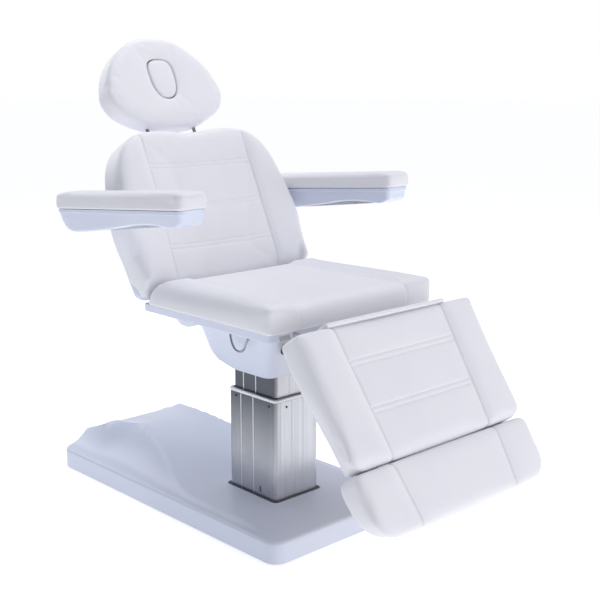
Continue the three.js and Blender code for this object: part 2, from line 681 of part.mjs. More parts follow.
// ---------- armrests ----------
// Local frame: origin on the pivot, y runs along the arm to the rear, z square to it.
function buildArmrests() {
  const pivot = new THREE.Vector3(0, ARM.pivotDepth, ARM.pivotUp);
  backGroup.updateMatrixWorld(true);
  pivot.applyMatrix4(backGroup.matrixWorld);
  const front = -498;
  const rear = 96;
  const padLow = 32;
  const padHigh = 76;
  for (const [side, sign] of SIDES) {
    const arm = new THREE.Group();
    arm.position.set(0, pivot.y, pivot.z);
    arm.rotation.x = -ARM.pitch * DEG;
    bed.add(arm);
    const x0 = sign > 0 ? ARM.inner : -ARM.outer;
    const x1 = x0 + ARM.outer - ARM.inner;
    const pad = sidePrism(roundedRect(front, rear, padLow, padHigh, 20, 20), x0, x1, 10);
    add("armrest_pad_" + side, pad, vinyl(), arm);

    const shell = polygon([[front + 14, padLow - GAP], [front + 14, 12], [front + 32, -4], [front + 75, -10],
      [-377, -5], [-283, -9], [-202, -18], [-110, -27], [-20, -33], [25, -33], [50, -24], [72, -4],
      [rear - 12, 8], [rear - 12, padLow - GAP]]);
    const body = sidePrism(shell, x0 + 5, x1 - 5);
    const pocket = polygon([[front + 19, padLow + 5], [front + 19, 14], [front + 36, 2], [front + 75, -4],
      [-377, 1], [-283, -3], [-202, -12], [-110, -21], [-20, -27], [22, -27], [45, -19], [66, 0],
      [rear - 17, 11], [rear - 17, padLow + 5]]);
    const inside = sidePrism(pocket, x0 + 10, x1 - 10);
    const bore = bar([x0 - 5, 0, 0], [x1 - 40, 0, 0], ARM.spindleR - 2);
    const innerBore = sign > 0 ? bore : bar([x0 + 40, 0, 0], [x1 + 5, 0, 0], ARM.spindleR - 2);
    add("armrest_shell_" + side, cut(body, inside, innerBore), plastic(), arm);
  }
}

// ---------- leg rest and foot rest ----------
// Local frame: z runs up the cushion's face, y runs from the face to the rear.
const legGroup = new THREE.Group();
legGroup.position.set(0, LEG.y, LEG.z);
legGroup.rotation.x = -LEG.tilt * DEG;
bed.add(legGroup);

function buildLegRest() {
  const hinge = toLocal(legGroup, LEG_HINGE.y, LEG_HINGE.z);
  const outline = roundedRect(-LEG.halfWidth, LEG.halfWidth, LEG.bottom, LEG.top, 30);
  add("leg_cushion", slab(outline, 0, LEG.cushion, 12), vinyl(), legGroup);
  const board = roundedRect(-300, 300, LEG.bottom + 20, LEG.top - 16, 20);
  const boardNear = LEG.cushion + GAP;
  const boardFar = boardNear + 8;
  add("leg_board", slab(board, boardNear, boardFar), plywood(), legGroup);
  const flap = roundedRect(-224, 224, LEG.top + GAP, LEG.top + 8, 3);
  add("leg_top_flap", slab(flap, 18, 64), vinyl(), legGroup);

  const railNear = boardFar + GAP;
  const railFar = railNear + 15;
  for (const [side, sign] of SIDES) {
    const x = sign * LUG_X;
    const rail = block(x - 12, x + 12, railNear, railFar, LEG.bottom + 8, 84);
    const bore = block(x - 9.5, x + 9.5, railNear + 2.5, railFar - 2.5, LEG.bottom - 5, 60);
    const lug = sidePrism(polygon([[railNear, 60], [railFar, 60], [hinge.y + 10, hinge.z],
      [hinge.y - 8, hinge.z]]), x - 4, x + 4);
    const boss = sidePrism(disc(hinge.y, hinge.z, 11), x - 4, x + 4);
    const hole = bar([x - 20, hinge.y, hinge.z], [x + 20, hinge.y, hinge.z], SHAFT_HOLE_R);
    add("leg_rail_" + side, cut(join(rail, lug, boss), bore, hole), steel(), legGroup);

    const slider = block(x - 9, x + 9, railNear + 3, railFar - 3, FOOT.bottom + 60, LEG.bottom + 150);
    add("foot_slider_" + side, slider, chrome(), legGroup);
  }
  const end = LUG_X - 12 - GAP;
  const crossBar = block(-end, end, railNear, railFar, 22, 44);
  const root = [[railFar - 3, 24], [railFar - 3, 42]];
  const lever = leverBar(legGroup, LEG_LEVER_END, -ACTUATOR_X, crossBar, root);
  add("leg_lever_bar", lever, steel(), legGroup);

  const footOutline = roundedRect(-FOOT.halfWidth, FOOT.halfWidth, FOOT.bottom, FOOT.top, 52, 22);
  add("foot_cushion", slab(footOutline, 0, FOOT.cushion, 12), vinyl(), legGroup);
  const footBoard = roundedRect(-298, 298, FOOT.bottom + 22, FOOT.top - 14, 20);
  add("foot_board", slab(footBoard, boardNear, boardFar), plywood(), legGroup);
}

// ---------- linear actuators ----------
// Local frame: origin on the fixed pivot, z runs along the rod.
function buildActuator(name, line, x, bodyLength, boreFrom, rodFrom) {
  const length = line.length;
  const group = new THREE.Group();
  group.position.set(x, ACTUATOR_PIVOT.y, ACTUATOR_PIVOT.z);
  group.rotation.x = (line.angle - 90) * DEG;
  bed.add(group);

  const eye = bar([-14, 0, 0], [14, 0, 0], 14, 20);
  const tube = bar([0, 0, 8], [0, 0, bodyLength], 18, 20);
  const motor = block(-15, 15, -32, 0, 26, 100);
  const pinHole = bar([-20, 0, 0], [20, 0, 0], SHAFT_HOLE_R, 20);
  const bore = bar([0, 0, boreFrom], [0, 0, bodyLength + 5], 9.6, 20);
  add(name + "_body", cut(join(eye, tube, motor), pinHole, bore), blackPlastic(), group);

  const rod = bar([0, 0, rodFrom], [0, 0, length - EYE.bore - 2], 9, 16);
  const head = bar([-11, 0, length], [11, 0, length], EYE.outer, 20);
  const headHole = bar([-15, 0, length], [15, 0, length], EYE.bore, 20);
  add(name + "_rod", cut(join(rod, head), headHole), chrome(), group);
}

buildBase();
buildColumn();
buildShroud();
buildTray();
buildSeat();
buildBack();
buildHeadrest();
buildArmrests();
buildLegRest();
buildActuator("recline_actuator", RECLINE_ROD, ACTUATOR_X, 215, 60, 150);
buildActuator("leg_actuator", LEG_ROD, -ACTUATOR_X, 190, 45, 65);

// The bed's box reaches from the foot rest's edge to the base's rear edge.
const box = new THREE.Box3().setFromObject(bed, true);
bed.position.y = -(box.min.y + box.max.y) / 2;
bed.updateMatrixWorld(true);

export default bed;
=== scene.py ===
"""Looks of an electric facial treatment bed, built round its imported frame.

Shapes are drawn in millimetres, each in its own place: x runs across the bed, depth runs from the
piece's face to its rear, and rise runs up its face. In the bed's own place depth is the row frame's
+Y and rise is its +Z, with the lift column's axis at x 0, depth 0.
"""
import json
import math

import bmesh
import bpy
import numpy as np
from mathutils import Matrix, Vector
from mathutils.bvhtree import BVHTree


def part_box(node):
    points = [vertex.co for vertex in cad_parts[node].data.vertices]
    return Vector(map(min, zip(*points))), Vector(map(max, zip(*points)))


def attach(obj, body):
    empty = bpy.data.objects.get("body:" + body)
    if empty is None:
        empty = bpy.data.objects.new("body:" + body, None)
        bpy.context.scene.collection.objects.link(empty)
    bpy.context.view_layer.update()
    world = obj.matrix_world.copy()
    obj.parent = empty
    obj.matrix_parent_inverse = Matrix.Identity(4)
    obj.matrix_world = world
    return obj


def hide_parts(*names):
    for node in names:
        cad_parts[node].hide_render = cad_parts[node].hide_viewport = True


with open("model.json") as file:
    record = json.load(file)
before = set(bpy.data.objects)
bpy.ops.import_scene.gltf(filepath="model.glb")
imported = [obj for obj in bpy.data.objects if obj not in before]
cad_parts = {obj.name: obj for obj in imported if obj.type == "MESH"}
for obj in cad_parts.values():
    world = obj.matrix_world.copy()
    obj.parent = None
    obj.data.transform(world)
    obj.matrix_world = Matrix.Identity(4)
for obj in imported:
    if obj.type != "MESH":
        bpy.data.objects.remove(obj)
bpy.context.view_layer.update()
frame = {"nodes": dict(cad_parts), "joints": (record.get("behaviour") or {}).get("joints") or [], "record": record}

MM = 0.001
SWELL_FRAMES = 20
JOINTS = {joint["name"]: joint for joint in frame["joints"]}
SIDES = (("left", 1), ("right", -1))


# ---------- places ----------
class Place:
    """Where a piece's own axes lie: x, depth and rise, in the row frame."""

    def __init__(self, origin, up=(0, 0, 1)):
        self.up = Vector(up).normalized()
        self.deep = Vector((0, self.up.z, -self.up.y))
        self.matrix = Matrix.Identity(4)
        for row in range(3):
            self.matrix[row][1] = self.deep[row]
            self.matrix[row][2] = self.up[row]
            self.matrix[row][3] = origin[row]

    def at(self, x, depth, rise):
        return self.matrix @ (Vector((x, depth, rise)) * MM)


def bed_box(node):
    """A node's lowest and highest corners in the bed's place, in millimetres."""
    return [np.array(BED.matrix.inverted() @ corner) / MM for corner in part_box(node)]


def joint_place(name, depth, rise, up):
    """A place at an offset, in millimetres along Y and Z, from a joint's axis."""
    pivot = Vector(JOINTS[name]["pos_m"])
    return Place(pivot + Vector((0, depth, rise)) * MM, up)


def middle_y(node):
    low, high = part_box(node)
    return (low.y + high.y) / 2


def span(sign, inner, outer):
    """Lowest and highest x of something that reaches from inner to outer on one side."""
    return sorted((sign * inner, sign * outer))


ARM_PITCH = math.radians(4.7)
BED = Place((0, middle_y("column_outer"), 0))
SEAT = Place((0, middle_y("column_outer"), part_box("seat_cushion")[1].z), (0, 1, 0))
BACK = joint_place("back_recline", -51, 84, JOINTS["headrest_height"]["axis"])
HEAD = Place(BACK.at(0, 54, 500), BACK.up)
LEG = joint_place("legrest_raise", -133, -28, -Vector(JOINTS["footrest_slide"]["axis"]))
ARM = joint_place("armrest_left_fold", 0, 0, (0, math.sin(ARM_PITCH), math.cos(ARM_PITCH)))


# ---------- curves and outlines ----------
def smooth(t):
    t = np.clip(t, 0, 1)
    return t * t * (3 - 2 * t)


def between(knots, place):
    """Smooth value between knots given as (place, value)."""
    place = np.asarray(place, float)
    value = np.full(place.shape, float(knots[0][1]))
    for (a, va), (b, vb) in zip(knots, knots[1:]):
        value = np.where(place > a, va + (vb - va) * smooth((place - a) / (b - a)), value)
    return value


def spline(points, steps, closed=False):
    """A centripetal Catmull-Rom curve through points, with that many steps a stretch."""
    points = np.array(points, float)
    count = len(points)
    if not closed:
        points = np.vstack([2 * points[0] - points[1], points, 2 * points[-1] - points[-2]])
    made = []
    for i in range(count if closed else count - 1):
        p = [points[(i + k - 1) % count] if closed else points[i + k] for k in range(4)]
        gaps = [max(np.linalg.norm(p[k + 1] - p[k]), 1e-6) ** 0.5 for k in range(3)]
        start = (p[1] - p[0]) / gaps[0] - (p[2] - p[0]) / (gaps[0] + gaps[1]) + (p[2] - p[1]) / gaps[1]
        end = (p[2] - p[1]) / gaps[1] - (p[3] - p[1]) / (gaps[1] + gaps[2]) + (p[3] - p[2]) / gaps[2]
        start, end = start * gaps[1], end * gaps[1]
        for t in np.arange(steps) / steps:
            made.append((2 * t**3 - 3 * t**2 + 1) * p[1] + (t**3 - 2 * t**2 + t) * start
                        + (3 * t**2 - 2 * t**3) * p[2] + (t**3 - t**2) * end)
    if not closed:
        made.append(points[-2])
    return np.array(made)


def evenly(outline, count):
    """The closed outline again, with count points at equal steps."""
    ring = np.vstack([outline, outline[:1]])
    along = np.concatenate([[0], np.cumsum(np.linalg.norm(np.diff(ring, axis=0), axis=1))])
    places = np.linspace(0, along[-1], count, endpoint=False)
    return np.stack([np.interp(places, along, ring[:, k]) for k in (0, 1)], 1)


def mirrored(half, count):
    """A smooth outline, the same on both sides, through points given for its right half."""
    left = [(-a, b) for a, b in reversed(half) if a > 0]
    return evenly(spline(list(half) + left, 12, closed=True), count)


def rounded(a0, a1, b0, b1, lower, upper=None, step=4.0, count=0):
    """A rectangle with its own radius at the two lower and the two upper corners."""
    upper = lower if upper is None else upper
    points = []
    corners = ((a1, b1, upper, 0), (a0, b1, upper, 1), (a0, b0, lower, 2), (a1, b0, lower, 3))
    for a, b, radius, quarter in corners:
        ma = a - radius if a == a1 else a + radius
        mb = b - radius if b == b1 else b + radius
        for angle in np.linspace(quarter, quarter + 1, 9) * math.pi / 2:
            points.append((ma + radius * math.cos(angle), mb + radius * math.sin(angle)))
    points = np.array(points)
    length = np.linalg.norm(np.diff(np.vstack([points, points[:1]]), axis=0), axis=1).sum()
    return evenly(points, count or max(int(length / step), 24))


def moved_in(outline, distance):
    """The outline moved inward by a distance, or by one distance a point."""
    ahead = np.roll(outline, -1, 0) - np.roll(outline, 1, 0)
    ahead /= np.linalg.norm(ahead, axis=1)[:, None]
    inward = np.stack([-ahead[:, 1], ahead[:, 0]], 1)
    turning = np.sum(outline[:, 0] * np.roll(outline[:, 1], -1) - outline[:, 1] * np.roll(outline[:, 0], -1))
    inward *= np.sign(turning)
    return outline + inward * (np.ones(len(outline)) * distance)[:, None]


def rounding(radius, degrees):
    """Insets and drops of a rounded edge, from 0 degrees on its side to 90 on its top."""
    return [(radius * (1 - math.cos(a)), radius * (1 - math.sin(a))) for a in np.radians(degrees)]


def circle(count):
    """Cosines and sines of evenly spaced directions."""
    angles = np.linspace(0, 2 * math.pi, count, endpoint=False)
    return np.cos(angles), np.sin(angles)


def plug_outline(grow, count):
    """Egg-shaped outline of the headrest's plug, broader at the top."""
    cosine, sine = circle(240)
    a = (46 + grow) * (1 + 0.14 * sine) * np.sign(cosine) * np.abs(cosine) ** 0.7
    b = 141 + (64 + grow) * np.sign(sine) * np.abs(sine) ** 0.76
    return evenly(np.stack([a, b], 1), count)


# ---------- meshes ----------
def level(outline, depth):
    """An outline of (x, rise) points as a loop at one depth, or at one depth a point."""
    return np.stack([outline[:, 0], np.ones(len(outline)) * depth, outline[:, 1]], 1)


def flat(outline, rise):
    """An outline of (x, depth) points as a loop at one rise, or at one rise a point."""
    return np.stack([outline[:, 0], outline[:, 1], np.ones(len(outline)) * rise], 1)


def loft(loops, ring=False):
    """Loops with the same number of points, joined one to the next."""
    count = len(loops[0])
    assert all(len(loop) == count for loop in loops), "loops to join need the same number of points"
    faces = []
    for i in range(len(loops) if ring else len(loops) - 1):
        a, b = i * count, (i + 1) % len(loops) * count
        faces += [(a + j, a + (j + 1) % count, b + (j + 1) % count, b + j) for j in range(count)]
    if not ring:
        faces.append(tuple(range(count)))
        faces.append(tuple(range((len(loops) - 1) * count, len(loops) * count)))
    return np.vstack(loops), faces


def merged(parts):
    """Several (points, faces) as one."""
    points, faces, start = [], [], 0
    for some_points, some_faces in parts:
        points.append(np.asarray(some_points, float))
        faces += [tuple(i + start for i in face) for face in some_faces]
        start += len(some_points)
    return np.vstack(points), faces


def hoop(centre, radius, side, way, sides):
    """A circle of points round a centre, square to way, from the direction of side."""
    cosine, sine = circle(sides)
    return centre + radius * (np.outer(cosine, side) + np.outer(sine, np.cross(way, side)))


def turned(profile, axis_point, along, sides=40):
    """A profile of (radius, distance) points turned about an axis."""
    along = np.array(along, float) / np.linalg.norm(along)
    side = np.cross(along, (0.3, 0.5, 0.8))
    side /= np.linalg.norm(side)
    start = np.array(axis_point, float)
    return loft([hoop(start + along * distance, max(radius, 0.01), side, along, sides)
                 for radius, distance in profile])


def rod(start, end, radius, sides=32, bevel=0.6):
    """A round bar with small bevels at its ends."""
    start, end = np.array(start, float), np.array(end, float)
    length = np.linalg.norm(end - start)
    profile = [(radius - bevel, 0), (radius, bevel), (radius, length - bevel), (radius - bevel, length)]
    return turned(profile, start, end - start, sides)


def wire(points, radius, sides=14):
    """A round wire along points, with rounded ends."""
    ahead = np.gradient(points, axis=0)
    ahead /= np.linalg.norm(ahead, axis=1)[:, None]
    side = np.cross(ahead[0], (0.2, 0.3, 0.9))
    loops = []
    for i, (point, way) in enumerate(zip(points, ahead)):
        side = side - way * np.dot(side, way)
        side /= np.linalg.norm(side)
        share = 0.6 if i in (0, len(points) - 1) else 1
        loops.append(hoop(point, radius * share, side, way, sides))
    return loft(loops)


def box(x0, x1, d0, d1, r0, r1):
    corners = [(x0, d0), (x1, d0), (x1, d1), (x0, d1)]
    return loft([flat(np.array(corners, float), r0), flat(np.array(corners, float), r1)])


def linked(name, data):
    """A new object in the scene."""
    thing = bpy.data.objects.new(name, data)
    bpy.context.scene.collection.objects.link(thing)
    return thing


def solid(name, shape, matrix):
    """A new object from (points, faces) in millimetres, with its faces turned outward."""
    points, faces = shape
    mesh = bpy.data.meshes.new(name)
    mesh.from_pydata((np.asarray(points) * MM).tolist(), [], faces)
    bm = bmesh.new()
    bm.from_mesh(mesh)
    bmesh.ops.recalc_face_normals(bm, faces=bm.faces)
    bm.to_mesh(mesh)
    bm.free()
    thing = linked(name, mesh)
    thing.matrix_world = matrix
    return thing


def piece(name, shape, place, body, slot, nodes=(), sharp=38, bevel=0, finish=None):
    """A piece of the object in a place, riding on a body, in place of CAD nodes."""
    thing = solid(name, shape, place.matrix)
    shade(thing, sharp)
    if bevel:
        round_edges(thing, bevel)
    thing.data.materials.append(FINISHES[finish or slot])
    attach(thing, body)
    if nodes:
        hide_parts(*nodes)
    return thing


def shade(thing, sharp):
    thing.data.shade_smooth()
    thing.data.set_sharp_from_angle(angle=math.radians(sharp))


def round_edges(thing, width):
    bevel = thing.modifiers.new("Bevel", "BEVEL")
    bevel.width = width * MM
    bevel.segments = 2
    bevel.limit_method = "ANGLE"
    bevel.angle_limit = math.radians(35)
    bevel.harden_normals = True


def bake(thing):
    """Turns an object's modifiers into its mesh."""
    graph = bpy.context.evaluated_depsgraph_get()
    made = bpy.data.meshes.new_from_object(thing.evaluated_get(graph))
    old = thing.data
    thing.modifiers.clear()
    thing.data = made
    bpy.data.meshes.remove(old)


def cut_away(thing, *shapes):
    """Cuts closed shapes, given in the object's own place, out of it."""
    for shape in shapes:
        tool = solid("tool", shape, thing.matrix_world)
        modifier = thing.modifiers.new("Cut", "BOOLEAN")
        modifier.operation = "DIFFERENCE"
        modifier.solver = "EXACT"
        modifier.object = tool
        bpy.context.view_layer.update()
        bake(thing)
        bpy.data.meshes.remove(tool.data)
    shade(thing, 38)


def coordinates(thing):
    """An object's points in its own place, in millimetres."""
    found = np.empty(len(thing.data.vertices) * 3)
    thing.data.vertices.foreach_get("co", found)
    return found.reshape(-1, 3) / MM


def set_coordinates(thing, points):
    thing.data.vertices.foreach_set("co", (points * MM).ravel())
    thing.data.update()


# ---------- finishes ----------
class Finish:
    """A material under construction."""

    def __init__(self, name, colour, roughness, **inputs):
        self.material = bpy.data.materials.new(name)
        self.material.use_nodes = True
        self.tree = self.material.node_tree
        self.shader = self.tree.nodes["Principled BSDF"]
        self.colour = (*colour, 1)
        self.shader.inputs["Base Color"].default_value = self.colour
        self.shader.inputs["Roughness"].default_value = roughness
        for key, value in inputs.items():
            self.shader.inputs[key.replace("_", " ")].default_value = value
        self.place = self.node("ShaderNodeTexCoord").outputs["Object"]
        self.normal = None

    def node(self, kind, links=None, **settings):
        made = self.tree.nodes.new(kind)
        for key, value in settings.items():
            if key in made.inputs:
                made.inputs[key].default_value = value
            else:
                setattr(made, key, value)
        for key, output in (links or {}).items():
            self.tree.links.new(output, made.inputs[key])
        return made

    def stretched(self, scale):
        return self.node("ShaderNodeMapping", {"Vector": self.place}, Scale=scale).outputs["Vector"]

    def noise(self, scale, detail=3.0, where=None):
        """Noise from 0 to 1; scale is in cells a metre."""
        made = self.node("ShaderNodeTexNoise", {"Vector": where or self.place}, Scale=scale, Detail=detail)
        return made.outputs["Fac"]

    def cells(self, scale, feature="F1"):
        made = self.node("ShaderNodeTexVoronoi", {"Vector": self.place}, feature=feature, Scale=scale)
        return made.outputs["Distance"]

    def ramp(self, value, low, high, start=0.0, end=1.0):
        """value from start to end as a grey from low to high."""
        made = self.node("ShaderNodeMapRange", {"Value": value})
        for key, number in (("From Min", start), ("From Max", end), ("To Min", low), ("To Max", high)):
            made.inputs[key].default_value = number
        return made.outputs["Result"]

    def tint(self, value, colour, start=0.0, end=1.0, share=1.0):
        """Paints towards another colour where value nears end."""
        mix = self.node("ShaderNodeMix", {"Factor": self.ramp(value, 0, share, start, end)}, data_type="RGBA")
        source = self.shader.inputs["Base Color"]
        if source.is_linked:
            self.tree.links.new(source.links[0].from_socket, mix.inputs["A"])
        else:
            mix.inputs["A"].default_value = self.colour
        mix.inputs["B"].default_value = (*colour, 1)
        self.tree.links.new(mix.outputs["Result"], source)

    def rough(self, value, low, high, start=0.0, end=1.0):
        self.tree.links.new(self.ramp(value, low, high, start, end), self.shader.inputs["Roughness"])

    def bump(self, height, distance, strength=1.0):
        """Adds relief; distance is in millimetres."""
        links = {"Height": height}
        if self.normal:
            links["Normal"] = self.normal
        made = self.node("ShaderNodeBump", links, Strength=strength, Distance=distance * MM)
        self.normal = made.outputs["Normal"]
        self.tree.links.new(self.normal, self.shader.inputs["Normal"])


def vinyl():
    """White synthetic leather: pebbled grain, faint creases and a soft sheen."""
    made = Finish("vinyl", (0.80, 0.80, 0.84), 0.44, Sheen_Weight=0.12, Sheen_Roughness=0.4)
    made.tint(made.noise(7, 3), (0.775, 0.78, 0.825), 0.35, 0.7)
    # Painted shade: the grain is darkened along the edges of its cells, as shade in its creases.
    made.tint(made.cells(820, "DISTANCE_TO_EDGE"), (0.72, 0.72, 0.76), 0.09, 0.0, 0.55)
    made.rough(made.noise(60, 4), 0.38, 0.52, 0.3, 0.7)
    made.bump(made.cells(820), 0.16, 0.35)
    made.bump(made.noise(2400, 2), 0.05, 0.25)
    made.bump(made.noise(38, 3), 0.6, 0.14)
    return made.material


def plastic():
    """Bluish white moulded plastic with a faint orange peel and a clear gloss."""
    made = Finish("moulded_plastic", (0.69, 0.735, 0.86), 0.34, Coat_Weight=0.15, Coat_Roughness=0.15)
    made.tint(made.noise(4, 2), (0.67, 0.715, 0.845), 0.35, 0.7)
    made.rough(made.noise(60, 2), 0.30, 0.40, 0.3, 0.7)
    made.bump(made.noise(160, 1), 0.03, 0.2)
    made.bump(made.noise(14, 2), 0.5, 0.08)
    return made.material


def aluminium():
    """Satin anodised extrusion with fine lines running along its length, and painted shade on its sides, darker
    towards the top.
    """
    made = Finish("anodised_aluminium", (0.60, 0.615, 0.65), 0.34, Metallic=1.0, Anisotropic=0.55)
    lines = made.noise(1, 5, made.stretched((1500, 1500, 3)))
    made.tint(lines, (0.47, 0.48, 0.52), 0.42, 0.68)
    made.tint(made.noise(9, 3), (0.55, 0.56, 0.60), 0.4, 0.7, 0.6)
    # Painted shade: faces turned across the bed are darkened, more the higher they stand, in place of the shade on
    # the column's sides.
    facing = made.node("ShaderNodeSeparateXYZ", {"Vector": made.node("ShaderNodeTexCoord").outputs["Normal"]})
    broad = made.node("ShaderNodeMath", {0: facing.outputs["X"]}, operation="ABSOLUTE").outputs["Value"]
    height = made.node("ShaderNodeSeparateXYZ", {"Vector": made.place}).outputs["Z"]
    upper = made.ramp(height, 0, 1, 0.08, 0.37)
    painted_side_shade = made.node("ShaderNodeMath", {0: broad, 1: upper}, operation="MULTIPLY")
    made.tint(painted_side_shade.outputs["Value"], (0.09, 0.10, 0.115), 0.0, 1.0)
    made.rough(lines, 0.28, 0.44, 0.35, 0.65)
    made.bump(lines, 0.05, 0.35)
    return made.material


def trim():
    """Bright satin aluminium of the column's collar and inlaid strips."""
    made = Finish("bright_aluminium", (0.84, 0.85, 0.88), 0.38, Metallic=0.35)
    made.tint(made.noise(20, 3), (0.76, 0.77, 0.81), 0.4, 0.7)
    made.rough(made.noise(200, 3), 0.32, 0.46, 0.3, 0.7)
    made.bump(made.noise(1, 4, made.stretched((900, 900, 20))), 0.03, 0.2)
    return made.material


def steel():
    """Grey powder coat with its pebbled skin."""
    made = Finish("powder_coat", (0.44, 0.45, 0.47), 0.5, Coat_Weight=0.1)
    made.tint(made.noise(25, 4), (0.38, 0.39, 0.41), 0.4, 0.7)
    made.rough(made.noise(180, 3), 0.44, 0.6, 0.3, 0.7)
    made.bump(made.cells(620, "SMOOTH_F1"), 0.12, 0.4)
    return made.material


def chrome():
    """Polished plate with faint haze and hairline scratches."""
    made = Finish("chrome", (0.34, 0.35, 0.38), 0.1, Metallic=1.0)
    made.tint(made.noise(30, 4), (0.26, 0.27, 0.30), 0.45, 0.75)
    made.rough(made.noise(70, 5), 0.06, 0.2, 0.3, 0.75)
    made.bump(made.noise(1, 4, made.stretched((2200, 900, 60))), 0.02, 0.15)
    return made.material


def black_plastic():
    made = Finish("black_plastic", (0.035, 0.036, 0.04), 0.45)
    made.tint(made.noise(30, 3), (0.055, 0.056, 0.06), 0.4, 0.7)
    made.rough(made.noise(150, 3), 0.38, 0.56, 0.3, 0.7)
    made.bump(made.cells(900), 0.06, 0.4)
    return made.material


def rubber():
    made = Finish("rubber", (0.10, 0.10, 0.11), 0.72)
    made.tint(made.noise(45, 4), (0.15, 0.15, 0.16), 0.5, 0.75)
    made.rough(made.noise(120, 3), 0.62, 0.85, 0.3, 0.7)
    made.bump(made.noise(700, 3), 0.1, 0.4)
    return made.material


def plywood():
    """Birch plywood: long grain on the faces, darker streaks and fine pores."""
    made = Finish("plywood", (0.62, 0.49, 0.32), 0.62)
    grain = made.noise(1, 6, made.stretched((14, 260, 260)))
    made.tint(grain, (0.46, 0.33, 0.19), 0.45, 0.75)
    made.tint(made.noise(6, 3), (0.68, 0.56, 0.39), 0.45, 0.7, 0.7)
    made.rough(grain, 0.5, 0.75, 0.3, 0.7)
    made.bump(made.noise(1, 5, made.stretched((60, 900, 900))), 0.12, 0.4)
    return made.material


FINISHES = {"upholstery": vinyl(), "white_plastic": plastic(), "aluminium": aluminium(), "steel": steel(),
            "chrome": chrome(), "trim": trim(), "black_plastic": black_plastic(), "rubber": rubber(),
            "plywood": plywood()}


def finish_frame():
    """Gives every CAD node the finish that the record names for it."""
    for subpart in frame["record"]["subparts"]:
        node = frame["nodes"][subpart["node"]]
        node.data.materials.clear()
        node.data.materials.append(FINISHES[subpart["material_slot"]])


# ---------- cushions ----------
class Seam:
    """A sewn line from a to b on a cushion's face, in (x, rise)."""

    def __init__(self, a, b, depth, width, stitches=(3.2,)):
        self.a, self.b = np.array(a, float), np.array(b, float)
        self.along = (self.b - self.a) / np.linalg.norm(self.b - self.a)
        self.across = np.array([-self.along[1], self.along[0]])
        self.depth, self.width, self.stitches = depth, width, stitches

    def distance(self, points):
        offset = points[:, [0, 2]] - self.a
        along = np.clip(offset @ self.along, 0, np.linalg.norm(self.b - self.a))
        return np.linalg.norm(offset - np.outer(along, self.along), axis=1)


def channel(rise, half_width, spacing=13):
    """Two sewn lines across a cushion with a narrow ridge between them."""
    return [Seam((-half_width, rise + offset), (half_width, rise + offset), 2.2, 3.0, ())
            for offset in (-spacing / 2, spacing / 2)]


def side_seams(seam_x, low, high, depth, width=3.4, **stitches):
    """The sewn line up each side of a cushion's face, at seam_x of the rise."""
    return [Seam((sign * seam_x(low), low), (sign * seam_x(high), high), depth, width, **stitches)
            for _, sign in SIDES]


GLUED_DEPTH = 7  # next to its board a cushion doesn't swell


